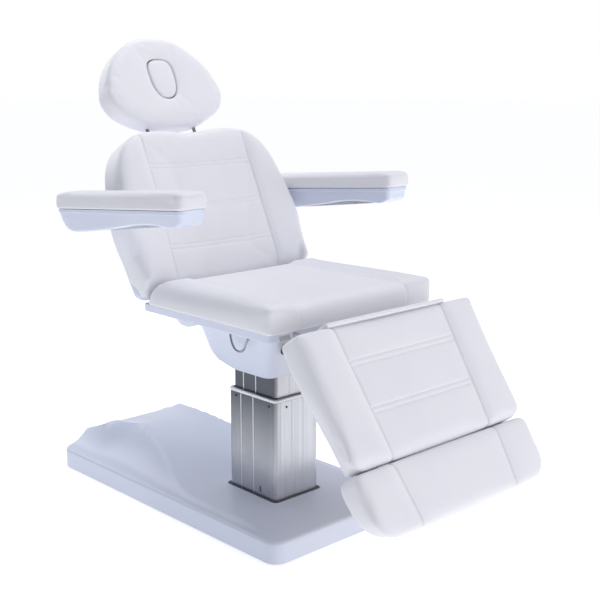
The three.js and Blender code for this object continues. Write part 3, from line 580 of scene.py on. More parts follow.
class Cushion:
    """A padded piece: swollen by cloth simulation, then sewn."""

    def __init__(self, name, shape, place, body, thickness, nodes, voxel=6.5, swell=4.0, seams=(),
                 held=None, relief=None):
        self.seams, self.swell, self.thickness, self.place, self.body = seams, swell, thickness, place, body
        self.thing = piece(name, shape, place, body, "upholstery", nodes)
        remesh = self.thing.modifiers.new("Remesh", "REMESH")
        remesh.mode = "VOXEL"
        remesh.voxel_size = voxel * MM
        bake(self.thing)
        if relief:
            points = coordinates(self.thing)
            share = 1 - smooth(points[:, 1] / (0.7 * thickness))
            points[:, 1] += relief(points) * share
            set_coordinates(self.thing, points)
        self.rest = coordinates(self.thing)
        self.held = self.rest[:, 1] > thickness - GLUED_DEPTH
        if held:
            self.held |= held(self.rest)
        for seam in seams:
            self.held |= (seam.distance(self.rest) < 0.55 * voxel) & (self.rest[:, 1] < 0.6 * thickness)

    def pump(self):
        """Readies the cushion for the simulation: pressure inside, sewn and glued points held."""
        group = self.thing.vertex_groups.new(name="held")
        group.add(np.nonzero(self.held)[0].tolist(), 1.0, "REPLACE")
        cloth = self.thing.modifiers.new("Cloth", "CLOTH")
        cloth.settings.use_pressure = True
        cloth.settings.uniform_pressure_force = 4.0
        cloth.settings.vertex_group_mass = group.name
        cloth.settings.effector_weights.gravity = 0.0
        cloth.settings.quality = 4
        cloth.settings.tension_stiffness = 12
        cloth.settings.bending_stiffness = 4
        cloth.collision_settings.use_collision = False
        cloth.point_cache.frame_start = 1
        cloth.point_cache.frame_end = SWELL_FRAMES

    def settle(self):
        """Keeps the swollen shape, with no point further than the swell from where it began."""
        evaluated = self.thing.evaluated_get(bpy.context.evaluated_depsgraph_get())
        found = np.empty(len(self.rest) * 3)
        evaluated.data.vertices.foreach_get("co", found)
        shift = found.reshape(-1, 3) / MM - self.rest
        size = np.linalg.norm(shift, axis=1)[:, None] + 1e-9
        set_coordinates(self.thing, self.rest + shift / size * self.swell * np.tanh(size / self.swell))
        self.thing.modifiers.clear()
        self.thing.vertex_groups.clear()

    def sew(self):
        """Smooths the skin, then sinks the seams into it."""
        soften = self.thing.modifiers.new("Smooth", "SMOOTH")
        soften.factor = 0.5
        soften.iterations = 4
        finer = self.thing.modifiers.new("Subdivision", "SUBSURF")
        finer.levels = finer.render_levels = 1
        bake(self.thing)
        if self.seams:
            self.sink_seams()
        self.thing.data.shade_smooth()
        self.thing.data.materials.clear()
        self.thing.data.materials.append(FINISHES["upholstery"])

    def sink_seams(self):
        """Sinks the skin along the seams, with small puckers beside them."""
        bm = bmesh.new()
        bm.from_mesh(self.thing.data)
        for seam in self.seams:
            for offset in (-3.4, -1.5, 0.0, 1.5, 3.4):
                self.split(bm, seam, offset)
        bm.normal_update()
        points = np.array([v.co for v in bm.verts]) / MM
        normals = np.array([v.normal for v in bm.verts])
        front = 1 - smooth((points[:, 1] - self.thickness + 16) / 10)
        sunk = np.zeros(len(points))
        for seam in self.seams:
            distance = seam.distance(points)
            along = (points[:, [0, 2]] - seam.a) @ seam.along
            pucker = 0.22 * np.sin(along / 2.9) * np.exp(-distance / 6) * (distance > 1)
            sunk = np.maximum(sunk, seam.depth * np.exp(-((distance / seam.width) ** 2)) + pucker)
        points -= normals * (sunk * front)[:, None]
        for vertex, point in zip(bm.verts, points):
            vertex.co = point * MM
        tree = BVHTree.FromBMesh(bm)
        bm.to_mesh(self.thing.data)
        bm.free()
        self.stitch(tree)

    @staticmethod
    def split(bm, seam, offset):
        """Adds a row of edges along the seam, at an offset to one side."""
        centre = seam.a + seam.across * offset
        reach = np.linalg.norm(seam.b - seam.a) + 3
        near = []
        for face in bm.faces:
            c = face.calc_center_median() / MM
            x, rise = c.x - seam.a[0], c.z - seam.a[1]
            along = x * seam.along[0] + rise * seam.along[1]
            across = x * seam.across[0] + rise * seam.across[1]
            if abs(across - offset) < 7 and -3 < along < reach:
                near.append(face)
        geometry = set(near)
        for face in near:
            geometry.update(face.edges)
            geometry.update(face.verts)
        bmesh.ops.bisect_plane(bm, geom=list(geometry), dist=1e-6,
                               plane_co=Vector((centre[0], 0, centre[1])) * MM,
                               plane_no=Vector((seam.across[0], 0, seam.across[1])))

    def stitch(self, tree):
        """Lays short threads beside the seams."""
        pitch, half_length, radius = 5.6, 2.1, 0.42
        bow = np.array([[0, 0.25, 0], [0, -0.15, 0], [0, 0.25, 0]])
        parts = []
        for seam in self.seams:
            reach = np.linalg.norm(seam.b - seam.a)
            for offset in [sign * side for side in seam.stitches for sign in (-1, 1)]:
                for middle in np.arange(6, reach - 6, pitch):
                    ends = []
                    for along in (middle - half_length, middle, middle + half_length):
                        x, rise = seam.a + seam.along * along + seam.across * offset
                        hit = tree.ray_cast(Vector((x, -60, rise)) * MM, Vector((0, 1, 0)))[0]
                        if hit is not None and hit.y / MM < 0.5 * self.thickness:
                            ends.append(np.array(hit) / MM)
                    if len(ends) == 3:
                        parts.append(wire(np.array(ends) + bow, radius, 6))
        if parts:
            piece(self.thing.name + "_thread", merged(parts), self.place, self.body, "upholstery", sharp=80)


def padded_loops(outline, thickness, edge, shrink=1.0, rear_edge=4.0, taper=0.0):
    """Loops of a padded block from its rear to its face. The face's edge is rounded by edge."""
    def side(depth):
        return shrink + taper * depth / thickness

    loops = []
    for inset, drop in rounding(rear_edge, (90, 45, 0)):
        loops.append(level(moved_in(outline, side(thickness) + inset), thickness - drop))
    broad = np.max(edge)
    for share in (0.75, 0.5):
        depth = broad + (thickness - rear_edge - broad) * share
        loops.append(level(moved_in(outline, side(depth)), depth))
    for inset, drop in rounding(edge, range(0, 91, 15)):
        loops.append(level(moved_in(outline, side(shrink + drop) + inset), shrink + drop))
    return loops


def laid(shape, top):
    """A padded block turned so that its face looks up, at that rise."""
    points, faces = shape
    return points[:, [0, 2, 1]] * (1, 1, -1) + (0, 0, top), faces


def inflate(cushions):
    """Swells all the cushions together by cloth simulation."""
    scene = bpy.context.scene
    scene.frame_start, scene.frame_end = 1, SWELL_FRAMES
    for cushion in cushions:
        cushion.pump()
    for number in range(1, SWELL_FRAMES + 1):
        scene.frame_set(number)
    for cushion in cushions:
        cushion.settle()
    scene.frame_set(1)


def bolsters(seam_x, rise, width=20):
    """Relief of a face whose middle lies below the bolsters outside the seams."""
    return lambda points: rise * (1 - smooth((np.abs(points[:, 0]) - seam_x(points[:, 2])) / width))


SEAT_HALF, SEAT_FRONT, SEAT_REAR, SEAT_THICK = 313, -335, 160, 73.7


def seat_seam_x(rise):
    return 192 - 0.036 * rise


def seat_cushion():
    outline = rounded(-SEAT_HALF, SEAT_HALF, SEAT_FRONT, SEAT_REAR, 18, 24)
    x, y = np.abs(outline[:, 0]), outline[:, 1]
    front = smooth((SEAT_FRONT + 30 - y) / 25)
    edge = 18 + 26 * smooth((y + 300) / 420)
    edge = edge + (36 - 24 * smooth((x - 190) / 110) - edge) * front
    points, faces = loft(padded_loops(outline, SEAT_THICK, edge, rear_edge=3))
    lean = smooth((points[:, 2] - 60) / 90) * points[:, 1] / SEAT_THICK
    points[:, 2] += 36 * lean
    seams = side_seams(seat_seam_x, -342, 165, 1.5, 5.0, stitches=())
    return Cushion("seat_upholstery", (points, faces), SEAT, "carriage", SEAT_THICK, ["seat_cushion"],
                   seams=seams, relief=bolsters(seat_seam_x, 7, 22), swell=5)


BACK_HALF = [(0, -36), (150, -36), (285, -36), (308, -20), (312, 0), (318, 74), (326, 150), (322, 210),
             (306, 295), (285, 365), (252, 413), (209, 440), (150, 452), (85, 451), (0, 443)]
BACK_THICK = 82
BACK_CHANNELS = (337, 211, 92)


def back_seam_x(rise):
    return 197 - 0.014 * rise


def back_cushion():
    outline = mirrored(BACK_HALF, 320)
    loops = padded_loops(outline, BACK_THICK, 17, shrink=0.5)
    skirt = 19 * smooth((np.abs(outline[:, 0]) - 225) / 40) * smooth((outline[:, 1] + 5) / 40)
    inner = [level(moved_in(outline, 22), BACK_THICK), level(moved_in(outline, 17), BACK_THICK + skirt * 0.9)]
    for loop in loops[:3]:
        loop[:, 1] += skirt
    points, faces = loft(inner + loops)
    foot = 60 / (1 + np.exp((points[:, 2] + 12) / 7))
    points[:, 1] = np.maximum(points[:, 1], np.minimum(foot, points[:, 1] + foot))
    seams = side_seams(back_seam_x, -40, 460, 2.8)
    for rise in BACK_CHANNELS:
        seams += channel(rise, back_seam_x(rise) - 1)
    return Cushion("back_upholstery", (points, faces), BACK, "back", BACK_THICK, ["back_cushion"],
                   seams=seams, relief=bolsters(back_seam_x, 5))


LEG_THICK = 76


def leg_seam_x(rise):
    return 199.8 + 0.0511 * rise


def leg_cushion():
    outline = rounded(-333, 333, -255, 103, 32, 14)
    taper = 30 * smooth((30 - outline[:, 1]) / 270) * smooth((np.abs(outline[:, 0]) - 290) / 35)
    edge = 15 - 6 * smooth((outline[:, 1] - 70) / 30)
    shape = loft(padded_loops(outline, LEG_THICK, edge, shrink=0.5, rear_edge=2.5, taper=taper))
    seams = side_seams(leg_seam_x, -260, 110, 3.0)
    for rise in (0, -126):
        seams += channel(rise, leg_seam_x(rise) - 1, 14)
    return Cushion("leg_upholstery", shape, LEG, "legrest", LEG_THICK, ["leg_cushion"],
                   seams=seams, relief=bolsters(leg_seam_x, 7))


def foot_seam_x(rise):
    return 223.8 + 0.0909 * rise


def foot_cushion():
    outline = rounded(-333, 333, -434, -258, 66, 24)
    outline[:, 1] += 6 * (outline[:, 0] / 328) ** 2 * smooth((-300 - outline[:, 1]) / 100)
    taper = 22 * smooth((-300 - outline[:, 1]) / 120)
    shape = loft(padded_loops(outline, LEG_THICK, 16, shrink=0.5, taper=taper))
    return Cushion("foot_upholstery", shape, LEG, "footrest", LEG_THICK, ["foot_cushion"],
                   seams=side_seams(foot_seam_x, -440, -252, 2.8), relief=bolsters(foot_seam_x, 4.5, 26))


HEAD_HALF = [(0, -14), (82, -9), (150, 16), (190, 43), (210, 85), (203, 130), (178, 182), (140, 224),
             (95, 256), (45, 273), (0, 276)]
HEAD_THICK = 72
HEAD_POINTS = 220


def head_outline(inset=0.0):
    outline = mirrored(HEAD_HALF, HEAD_POINTS)
    start = int(np.argmax(outline[:, 0] + 0.001 * outline[:, 1]))
    return moved_in(np.roll(outline, -start, 0), inset)


def matching(outline, other):
    """The other outline again, with its points at the same angles round the middle as this one's."""
    centre = outline.mean(0)
    wanted, have = (np.arctan2(*(loop - centre).T[::-1]) for loop in (outline, other))
    return np.stack([np.interp(wanted, have, other[:, k], period=2 * math.pi) for k in (0, 1)], 1)


def head_cushion():
    outline = head_outline(-3)
    edge = 12 + 18 * smooth((70 - outline[:, 1]) / 80) * smooth((150 - np.abs(outline[:, 0])) / 90)
    outer = padded_loops(outline, HEAD_THICK, edge, shrink=0.5, rear_edge=5)
    hole = matching(outline, plug_outline(2.0, 400))
    wall = [level(moved_in(hole, -6), 2.5), level(moved_in(hole, -2), 3.6), level(hole, 7),
            level(hole, HEAD_THICK / 2), level(hole, HEAD_THICK)]
    shape = loft(outer + wall, ring=True)

    def glued(points):
        gap = np.linalg.norm(points[:, None, [0, 2]] - hole[None, ::4], axis=2).min(1)
        return gap < 7

    return Cushion("headrest_upholstery", shape, HEAD, "headrest", HEAD_THICK, ["headrest_cushion"],
                   voxel=5, held=glued, swell=4)


def plug_cushion():
    points, faces = loft(padded_loops(plug_outline(-0.5, 160), 79, 5, shrink=0.6))
    points[:, 1] += 2.4
    return Cushion("headrest_plug_upholstery", (points, faces), HEAD, "plug", 81, ["headrest_plug"],
                   voxel=3.5, swell=1.6, held=lambda points: points[:, 1] > 12)


ARM_FRONT, ARM_REAR, ARM_INNER, ARM_OUTER = -498, 96, 335, 435
PAD_LOW, PAD_HIGH = 32, 76
NO_REAR = 1000  # a thickness past any point, for pads that are held by their height


def arm_pads():
    pads = []
    for side, sign in SIDES:
        outline = rounded(*span(sign, ARM_INNER, ARM_OUTER), ARM_FRONT, ARM_REAR, 22)
        shape = loft(padded_loops(outline, PAD_HIGH - PAD_LOW, 14, shrink=-0.5, rear_edge=2.5))
        pads.append(Cushion("armrest_pad_upholstery_" + side, laid(shape, PAD_HIGH), ARM, "armrest_" + side,
                            NO_REAR, ["armrest_pad_" + side], voxel=5, swell=2.5,
                            held=lambda points: points[:, 2] < PAD_LOW + 8))
    return pads


def leg_flap():
    outline = rounded(-226, 226, 1, 60, 6, step=3)
    shape = laid(loft(padded_loops(outline, 11.5, 4, shrink=0.3, rear_edge=1.5)), 112.5)
    return Cushion("leg_flap_upholstery", shape, LEG, "legrest", NO_REAR, ["leg_top_flap"],
                   voxel=4, swell=1.5, held=lambda points: points[:, 2] < 105)


# ---------- base ----------
BASE = {"half": 270, "front": -305, "rear": 756, "corner": 42, "low": 4, "wall": 4, "edge": 10}
COLUMN = {"half_x": 85, "half_y": 103, "corner": 14, "wall": 5, "low": 52.6, "high": 367.5}
INNER = {"half_x": 74, "half_y": 92, "corner": 10, "wall": 5, "low": 134, "high": 605.7}
DECK_HEIGHT = [(-250, 66), (-120, 74), (110, 76), (510, 160), (620, 150), (756, 104)]
CREST_HALF_WIDTH = [(60, 236), (517, 122), (756, 170)]
RIM_HEIGHT, RIM_INSET = 66, 14


def sharp_height(x, y):
    """Height of the cover's top: a humped deck between two crests, and a hollow flank outside each."""
    deck = between(DECK_HEIGHT, y)
    beyond = np.abs(x) - between(CREST_HALF_WIDTH, y)
    rim = BASE["half"] - RIM_INSET - between(CREST_HALF_WIDTH, y)
    lip = 7 * np.exp(-((np.minimum(beyond, 0) / 30) ** 2)) * smooth((y - 120) / 260)
    return RIM_HEIGHT + (deck + lip - RIM_HEIGHT) * (1 - np.clip(beyond / rim, 0, 1)) ** 2.3


def cover_height(x, y):
    """The cover's top with its crests rounded over: the mean of 12 places round each point."""
    return sum(sharp_height(x + dx, y + dy) for dx in (-6, -2, 2, 6) for dy in (-5, 0, 5)) / 12


def cover_loop(half, y0, y1, radius, along_x=24, along_y=120, corner=10):
    """A rounded rectangle with its points bunched alike on every size of it."""
    points = []
    sides = ((half, y0 + radius, half, y1 - radius, along_y, 0),
             (half - radius, y1, -half + radius, y1, along_x, 1),
             (-half, y1 - radius, -half, y0 + radius, along_y, 2),
             (-half + radius, y0, half - radius, y0, along_x, 3))
    for ax, ay, bx, by, steps, quarter in sides:
        for i in range(steps):
            points.append((ax + (bx - ax) * i / steps, ay + (by - ay) * i / steps))
        mx = half - radius if quarter in (0, 3) else -half + radius
        my = y1 - radius if quarter < 2 else y0 + radius
        for i in range(corner):
            angle = (quarter + i / corner) * math.pi / 2
            points.append((mx + radius * math.cos(angle), my + radius * math.sin(angle)))
    return np.array(points)


def cover_skin(wall):
    """Loops of one skin of the base cover, that far inside it, from the column's hole to the rim's foot."""
    edge = BASE["edge"]

    def outline(extra):
        d = wall + extra
        return cover_loop(BASE["half"] - d, BASE["front"] + d, BASE["rear"] - d, max(BASE["corner"] - d, 6))

    gap = 9
    hole = cover_loop(COLUMN["half_x"] + gap, -COLUMN["half_y"] - gap, COLUMN["half_y"] + gap, 16)
    top = outline(edge)
    loops = []
    for t in np.linspace(0, 1, 110):
        points = hole + (top - hole) * t
        loops.append(flat(points, cover_height(points[:, 0], points[:, 1]) - wall))
    height = loops[-1][:, 2]
    for drop, inset in rounding(edge, range(15, 91, 15)):
        loops.append(flat(outline(inset), height - drop))
    return loops + [flat(outline(0), 30), flat(outline(0), BASE["low"])]


def base_cover():
    skins = cover_skin(0)[::-1] + cover_skin(BASE["wall"])
    cover = piece("base_cover_moulding", loft(skins, ring=True), BED, "base", "white_plastic", ["base_cover"])
    cut_away(cover, box(-17.3, 17.3, BASE["rear"] - 20, BASE["rear"] + 5, 25.7, 52.3))


FOOT_PROFILE = [(0, 0), (19, 0), (21, 0.8), (22, 2.4), (21, 6), (19.5, 8), (10, 8.8), (8.4, 9.6), (8, 13.7)]


def base_fittings():
    for side, _ in SIDES:
        for end in ("front", "rear"):
            node = f"levelling_foot_{end}_{side}"
            low, high = bed_box(node)
            foot = turned(FOOT_PROFILE, ((low[0] + high[0]) / 2, (low[1] + high[1]) / 2, 0), (0, 0, 1), 48)
            piece(f"levelling_pad_{end}_{side}", foot, BED, "base", "rubber", [node])


def inlet():
    rear = BASE["rear"]
    rim = rounded(-17, 17, 26, 52, 2.5, step=1.5)
    body = loft([level(rim, rear - 24), level(rim, rear - 1.0), level(moved_in(rim, 0.8), rear - 0.2)])
    housing = piece("mains_inlet_housing", body, BED, "base", "black_plastic", ["power_inlet"])
    well = rounded(-12.5, 12.5, 30, 48, 2.2, 6, step=1.5)
    cut_away(housing, loft([level(well, rear - 16), level(well, rear + 2)]))
    pins = [box(x - 1, x + 1, rear - 17, rear - 3, z - 2.2, z + 2.2)
            for x, z in ((-6, 36), (6, 36), (0, 42.5))]
    piece("mains_inlet_pins", merged(pins), BED, "base", "chrome", bevel=0.3)


# ---------- lift column ----------
GROOVES, GROOVE_DEPTH, GROOVE_RADIUS = (-6, 48), 2.3, 2.4
RIB_DEPTH, RIB_PITCH = 0.28, 3.4
SIDE_LINES, END_LINES = (74, -82), (-66, -22, 22, 66)


def notch(places, middle, half_width):
    """1 at the middle of a vee-shaped groove, falling to 0 at half_width."""
    return np.clip(1 - np.abs(places - middle) / half_width, 0, 1)


def column_outline(spec, inset=0.0, plain=False):
    """Plan of a column section: round grooves and fine ribs on its broad sides, lines on its ends."""
    half_x, half_y = spec["half_x"] - inset, spec["half_y"] - inset
    corner = max(spec["corner"] - inset, 3)
    points = []
    for quarter, (cx, cy) in enumerate(((1, 1), (-1, 1), (-1, -1), (1, -1))):
        mx, my = cx * (half_x - corner), cy * (half_y - corner)
        for angle in (quarter + np.linspace(0, 1, 9)) * math.pi / 2:
            points.append((mx + corner * math.cos(angle), my + corner * math.sin(angle)))
        length = 2 * (half_x - corner) if quarter in (0, 2) else 2 * (half_y - corner)
        steps = int(length / 0.7)
        for i in range(1, steps):
            run = length / 2 - length * i / steps
            points.append(((run, half_y), (-half_x, run), (-run, -half_y), (half_x, -run))[quarter])
    points = np.array(points)
    if plain:
        return points
    x, y = points.T
    side = np.abs(np.abs(x) - half_x) < 1e-6
    sunk = np.zeros(len(points))
    for place in GROOVES:
        sunk += GROOVE_DEPTH * np.sqrt(np.clip(1 - ((y - place) / GROOVE_RADIUS) ** 2, 0, 1))
    ribbed = smooth((y - GROOVES[0] - 5) / 2) * smooth((GROOVES[1] - 5 - y) / 2)
    sunk += RIB_DEPTH * ribbed * (0.5 - 0.5 * np.cos(2 * math.pi * (y - np.mean(GROOVES)) / RIB_PITCH))
    sunk += 0.5 * sum(notch(y, place, 0.8) for place in SIDE_LINES)
    end = np.abs(np.abs(y) - half_y) < 1e-6
    lines = 0.45 * sum(notch(x, place, 0.9) for place in END_LINES)
    points[:, 0] -= np.sign(x) * np.where(side, sunk, 0)
    points[:, 1] -= np.sign(y) * np.where(end, lines, 0)
    return points


def column_section(name, spec, body, node):
    outside, plain = column_outline(spec), column_outline(spec, plain=True)
    inside = column_outline(spec, spec["wall"], plain=True)
    low, high = spec["low"], spec["high"]
    rim = np.where(np.abs(plain - outside) > 0.01, outside, moved_in(plain, 0.5))
    loops = [flat(outside, low), flat(outside, high - 0.5), flat(rim, high), flat(inside, high),
             flat(inside, low)]
    piece(name, loft(loops, ring=True), BED, body, "aluminium", [node], sharp=28)


COLLAR_RING = [(-0.6, 0.3), (-0.6, 1.5), (0.9, 1.9), (1.4, 2.7), (1.4, 7.3), (0.6, 9.1), (-1, 9.7),
               (-8.0, 9.7), (-8.6, 9.1), (-8.6, 0.3)]
WIPER_SEAL = [(-8.7, 3.3), (-8.7, 8.5), (-9.6, 9.7), (-10.5, 10.1), (-10.5, 3.3)]
FOOT_GASKET = [(0.5, 70), (0.5, 75.2), (2.0, 76.0), (6.4, 75.6), (8.4, 74.4), (8.4, 70)]


def column_frame(name, profile, base, slot, node, finish=None):
    """A frame round the column; its section is (offset from the outer section, height over base)."""
    loops = []
    for offset, height in profile:
        half_x, half_y = COLUMN["half_x"] + offset, COLUMN["half_y"] + offset
        plan = rounded(-half_x, half_x, -half_y, half_y, max(COLUMN["corner"] + offset, 2), count=360)
        loops.append(flat(plan, base + height))
    piece(name, loft(loops, ring=True), BED, "base", slot, [node], sharp=50, finish=finish)


def screw(point, way, radius=3.6):
    """A button-head screw with a round socket; way points out of the panel."""
    profile = ((1, -1.0), (1, 0.3), (0.9, 1.1), (0.6, 1.7), (0.42, 1.85), (0.40, 1.0), (0, 0.9))
    return turned([(radius * share, height) for share, height in profile], point, way, 24)


def rear_screws(name, spots, depth, radius, place, body):
    """Screws in the rear of a panel, at (x, rise)."""
    screws = [screw((x, depth + 0.1, rise), (0, 1, 0), radius) for x, rise in spots]
    piece(name, merged(screws), place, body, "black_plastic", sharp=30)


def column():
    column_section("column_outer_extrusion", COLUMN, "base", "column_outer")
    column_section("column_inner_extrusion", INNER, "carriage", "column_inner")
    for spec, body in ((COLUMN, "base"), (INNER, "carriage")):
        strips = []
        for _, sign in SIDES:
            for y in GROOVES:
                strips.append(box(*span(sign, spec["half_x"] - 1.9, spec["half_x"] - 0.1), y - 1.7, y + 1.7,
                                  spec["low"] + 1, spec["high"] - 1))
        piece("column_strips_" + body, merged(strips), BED, body, "aluminium", bevel=0.4, finish="trim")
    column_frame("column_collar_ring", COLLAR_RING, COLUMN["high"], "aluminium", "column_collar", "trim")
    column_frame("column_wiper_seal", WIPER_SEAL, COLUMN["high"], "rubber", "column_gasket")
    column_frame("column_foot_gasket", FOOT_GASKET, 0, "rubber", "column_gasket")
    screws = []
    for _, sign in SIDES:
        x = sign * (COLUMN["half_x"] + 0.2)
        screws += [screw((x, 69, 357), (sign, 0, 0)), screw((x, -76, 355), (sign, 0, 0))]
        y = sign * (COLUMN["half_y"] + 0.2)
        screws += [screw((42, y, 351), (0, sign, 0)), screw((-42, y, 351), (0, sign, 0))]
    piece("column_screws", merged(screws), BED, "base", "black_plastic", sharp=30)
    # Painted shade: a thin dark inset on each side of the column stands for a slot, whose inside lies in shade.
    slots = []
    outline = rounded(-39.2, -32.8, 86, 105, 3.0, step=0.8)
    for _, sign in SIDES:
        x0, x1 = span(sign, COLUMN["half_x"] - 1, COLUMN["half_x"] + 0.35)
        slots.append(loft([np.insert(outline, 0, x, axis=1) for x in (x0, x1)]))
    piece("column_slot_painted_shade", merged(slots), BED, "base", "rubber")


# ---------- seat underside ----------
SHROUD_LOW, SHROUD_WAIST, SHROUD_HIGH, SHROUD_WALL = 457, 500, 619.7, 4
SHROUD_SECTIONS = {"half": (138, 160, 205), "front": (-135, -163, -215), "rear": (101, 108, 117),
                   "corner": (26, 28, 30)}


def shroud_loop(height, inset):
    """One level of the shroud; below its waist the rear rises towards the foot."""
    half, front, rear, corner = (np.interp(height, (SHROUD_LOW, SHROUD_WAIST, SHROUD_HIGH), widths)
                                 for widths in SHROUD_SECTIONS.values())
    pinch = inset + 1.05 * math.exp(-(((height - SHROUD_WAIST) / 16) ** 2))
    outline = rounded(-half + pinch, half - pinch, front + pinch, rear - inset, corner - inset)
    outline = evenly(outline, 260)
    below = max((SHROUD_WAIST - height) / (SHROUD_WAIST - SHROUD_LOW), 0)
    return flat(outline, height + 16 * smooth(outline[:, 1] / 101) * below)


def shroud():
    bevel = 1.2
    heights = [SHROUD_LOW + 1.5, *np.arange(SHROUD_LOW + 4.5, SHROUD_HIGH - 1, 4.5), SHROUD_HIGH]
    loops = [shroud_loop(SHROUD_LOW, bevel), *(shroud_loop(height, 0) for height in heights)]
    loops += [shroud_loop(height, SHROUD_WALL) for height in reversed(heights)]
    loops.append(shroud_loop(SHROUD_LOW, SHROUD_WALL - bevel))
    made = piece("seat_shroud_moulding", loft(loops, ring=True), BED, "carriage", "white_plastic",
                 ["seat_shroud"])
    cut_away(made, box(-132, -108, -230, -140, 541, 565), box(93, 147, 80, 130, 522, 600))


TRAY = {"half": 300, "front": -316, "rear": 215, "low": 620, "high": 641.7, "wall": 3, "notch": 240,
        "depth": 15}


def tray_outline(inset):
    """The tray's plan, notched at the rear for the hinge of the back, with its corners rounded."""
    half, front, rear = TRAY["half"] - inset, TRAY["front"] + inset, TRAY["rear"] - inset
    notch, depth = TRAY["notch"] + inset, TRAY["depth"]
    sharp = [(half, front), (half, rear), (notch, rear), (notch, rear - depth), (-notch, rear - depth),
             (-notch, rear), (-half, rear), (-half, front)]
    radii = (16, 10, 3, 3, 3, 3, 10, 16)
    points = []
    for i, (corner, radius) in enumerate(zip(sharp, radii)):
        corner = np.array(corner, float)
        before = np.array(sharp[i - 1], float) - corner
        after = np.array(sharp[(i + 1) % len(sharp)], float) - corner
        before /= np.linalg.norm(before)
        after /= np.linalg.norm(after)
        for t in np.linspace(0, 1, 9):
            points.append(corner + before * radius * (1 - t) ** 2 + after * radius * t**2)
    return np.array(points)


def tray():
    wall, low, high = TRAY["wall"], TRAY["low"], TRAY["high"]
    loops = []
    for rise, inset in rounding(3, (0, 30, 60, 90)):
        loops.append(flat(tray_outline(inset), low + rise))
    for inset, rise in ((0, high - 0.8), (0.8, high), (wall, high), (wall, low + wall)):
        loops.append(flat(tray_outline(inset), rise))
    made = piece("seat_tray_moulding", loft(loops), BED, "carriage", "white_plastic", ["seat_tray"])
    lid = [box(-296, 296, 150, 198, high + 0.05, high + 0.45)]
    for _, sign in SIDES:
        cut_away(made, box(*span(sign, 205.5, 214.5), TRAY["front"] - 5, TRAY["rear"] + 5, low + wall, 635.5))
        lid.append(box(*span(sign, 243, 296), 198, 211, high + 0.05, high + 0.45))
    piece("seat_tray_lid", merged(lid), BED, "carriage", "white_plastic")


def tray_bosses():
    """Half-round bosses under the tray's sides."""
    angles = np.linspace(math.pi, 2 * math.pi, 33)
    for side, sign in SIDES:
        loops = []
        for x, grow in ((218, -4), (219.5, -1.2), (222, 0), (252, 0), (254.5, -1.2), (256, -4)):
            loops.append(np.stack([np.full(33, sign * x), 84 + (46 + grow) * np.cos(angles),
                                   TRAY["low"] + (32 + grow) * np.sin(angles)], 1))
        piece("tray_boss_" + side, loft(loops), BED, "carriage", "white_plastic")


HOOK_LINE = [(184, -50, 588), (193, -51, 588), (203, -52.5, 583), (205, -59, 563), (205, -72, 545),
             (205, -92, 541), (205, -110, 551), (205, -120, 570), (204, -129, 583), (194, -137, 588),
             (184, -138, 588)]


def hooks():
    for side, sign in SIDES:
        line = spline(np.array(HOOK_LINE) * (sign, 1, 1), 8)
        piece("hook_wire_" + side, wire(line, 3.2), BED, "carriage", "chrome", ["hook_" + side], sharp=60)


def shafts():
    for node in ("back_hinge_shaft", "leg_hinge_shaft"):
        low, high = bed_box(node)
        _, y, z = (low + high) / 2
        shaft = rod((low[0], y, z), (high[0], y, z), 6, 40, 1)
        piece(node + "_bar", shaft, BED, "carriage", "chrome", [node])


# ---------- back ----------
BACK_DEPTH = 109


def back_shell():
    outline = moved_in(mirrored(BACK_HALF, 320), 5)
    near, far, wall = BACK_THICK + 0.3, BACK_DEPTH, 4
    loops = [level(moved_in(outline, wall + 9), far - wall)]
    for inset, drop in rounding(6, (90, 45, 0)):
        loops.append(level(moved_in(outline, wall + inset), far - wall - drop))
    for inset, depth in ((wall, near), (0.6, near), (0, near + 0.8)):
        loops.append(level(moved_in(outline, inset), depth))
    for inset, drop in rounding(9, (0, 22, 45, 67, 90)):
        loops.append(level(moved_in(outline, inset), far - drop))
    for inset, drop in ((12, 0), (40, 0), (42, 0.4), (44, 1.4), (46, 1.8), (48, 1.8)):
        loops.append(level(moved_in(outline, inset), far - drop))
    made = piece("back_shell_moulding", loft(loops), BACK, "back", "white_plastic", ["back_shell"])
    cut_near, cut_far, cut_low = 89.3, 120, -60
    cuts = [box(-200, 200, cut_near, cut_far, cut_low, 6), box(96, 144, cut_near, cut_far, cut_low, 42)]
    for _, sign in SIDES:
        cuts.append(box(*span(sign, 207, 237), cut_near, cut_far, cut_low, 6))
        cuts.append(rod((sign * 285, 98, 228), (sign * 340, 98, 228), 10))
        cuts.append(rod((sign * 88, 99, 400), (sign * 88, 99, 470), 10.6))
    cut_away(made, *cuts)
    spots = [(x * sign, rise) for _, sign in SIDES
             for x, rise in ((268, 60), (272, 228), (232, 356), (110, 398))]
    rear_screws("back_shell_screws", spots, BACK_DEPTH, 4.2, BACK, "back")


SPINDLE_PROFILE = [(0, 0), (5.8, 0), (6.4, 0.8), (6.4, 92), (19, 92), (20, 93), (20, 99.5), (19, 100.5),
                   (9, 100.6), (8.6, 101.2), (6.5, 101.2), (6.5, 151), (5.8, 151.8)]


def spindles():
    for side, sign in SIDES:
        shape = turned(SPINDLE_PROFILE, (sign * 233.3, 98, 228), (sign, 0, 0), 48)
        piece("armrest_spindle_bar_" + side, shape, BACK, "back", "chrome", ["armrest_spindle_" + side])


def headrest_posts():
    """Chrome posts with a row of height notches."""
    low, high, radius = -268, 62, 5.5
    profile = [(radius - 1, low), (radius, low + 1)]
    for middle in np.arange(-236, -20, 18):
        profile += [(radius, middle - 2.2), (radius - 0.9, middle - 1.2), (radius - 0.9, middle + 1.2),
                    (radius, middle + 2.2)]
    profile += [(radius, high - 1), (radius - 1, high)]
    for side, sign in SIDES:
        shape = turned(profile, (sign * 88, 45, 0), (0, 0, 1), 36)
        piece("headrest_post_bar_" + side, shape, HEAD, "headrest", "chrome", ["headrest_post_" + side])


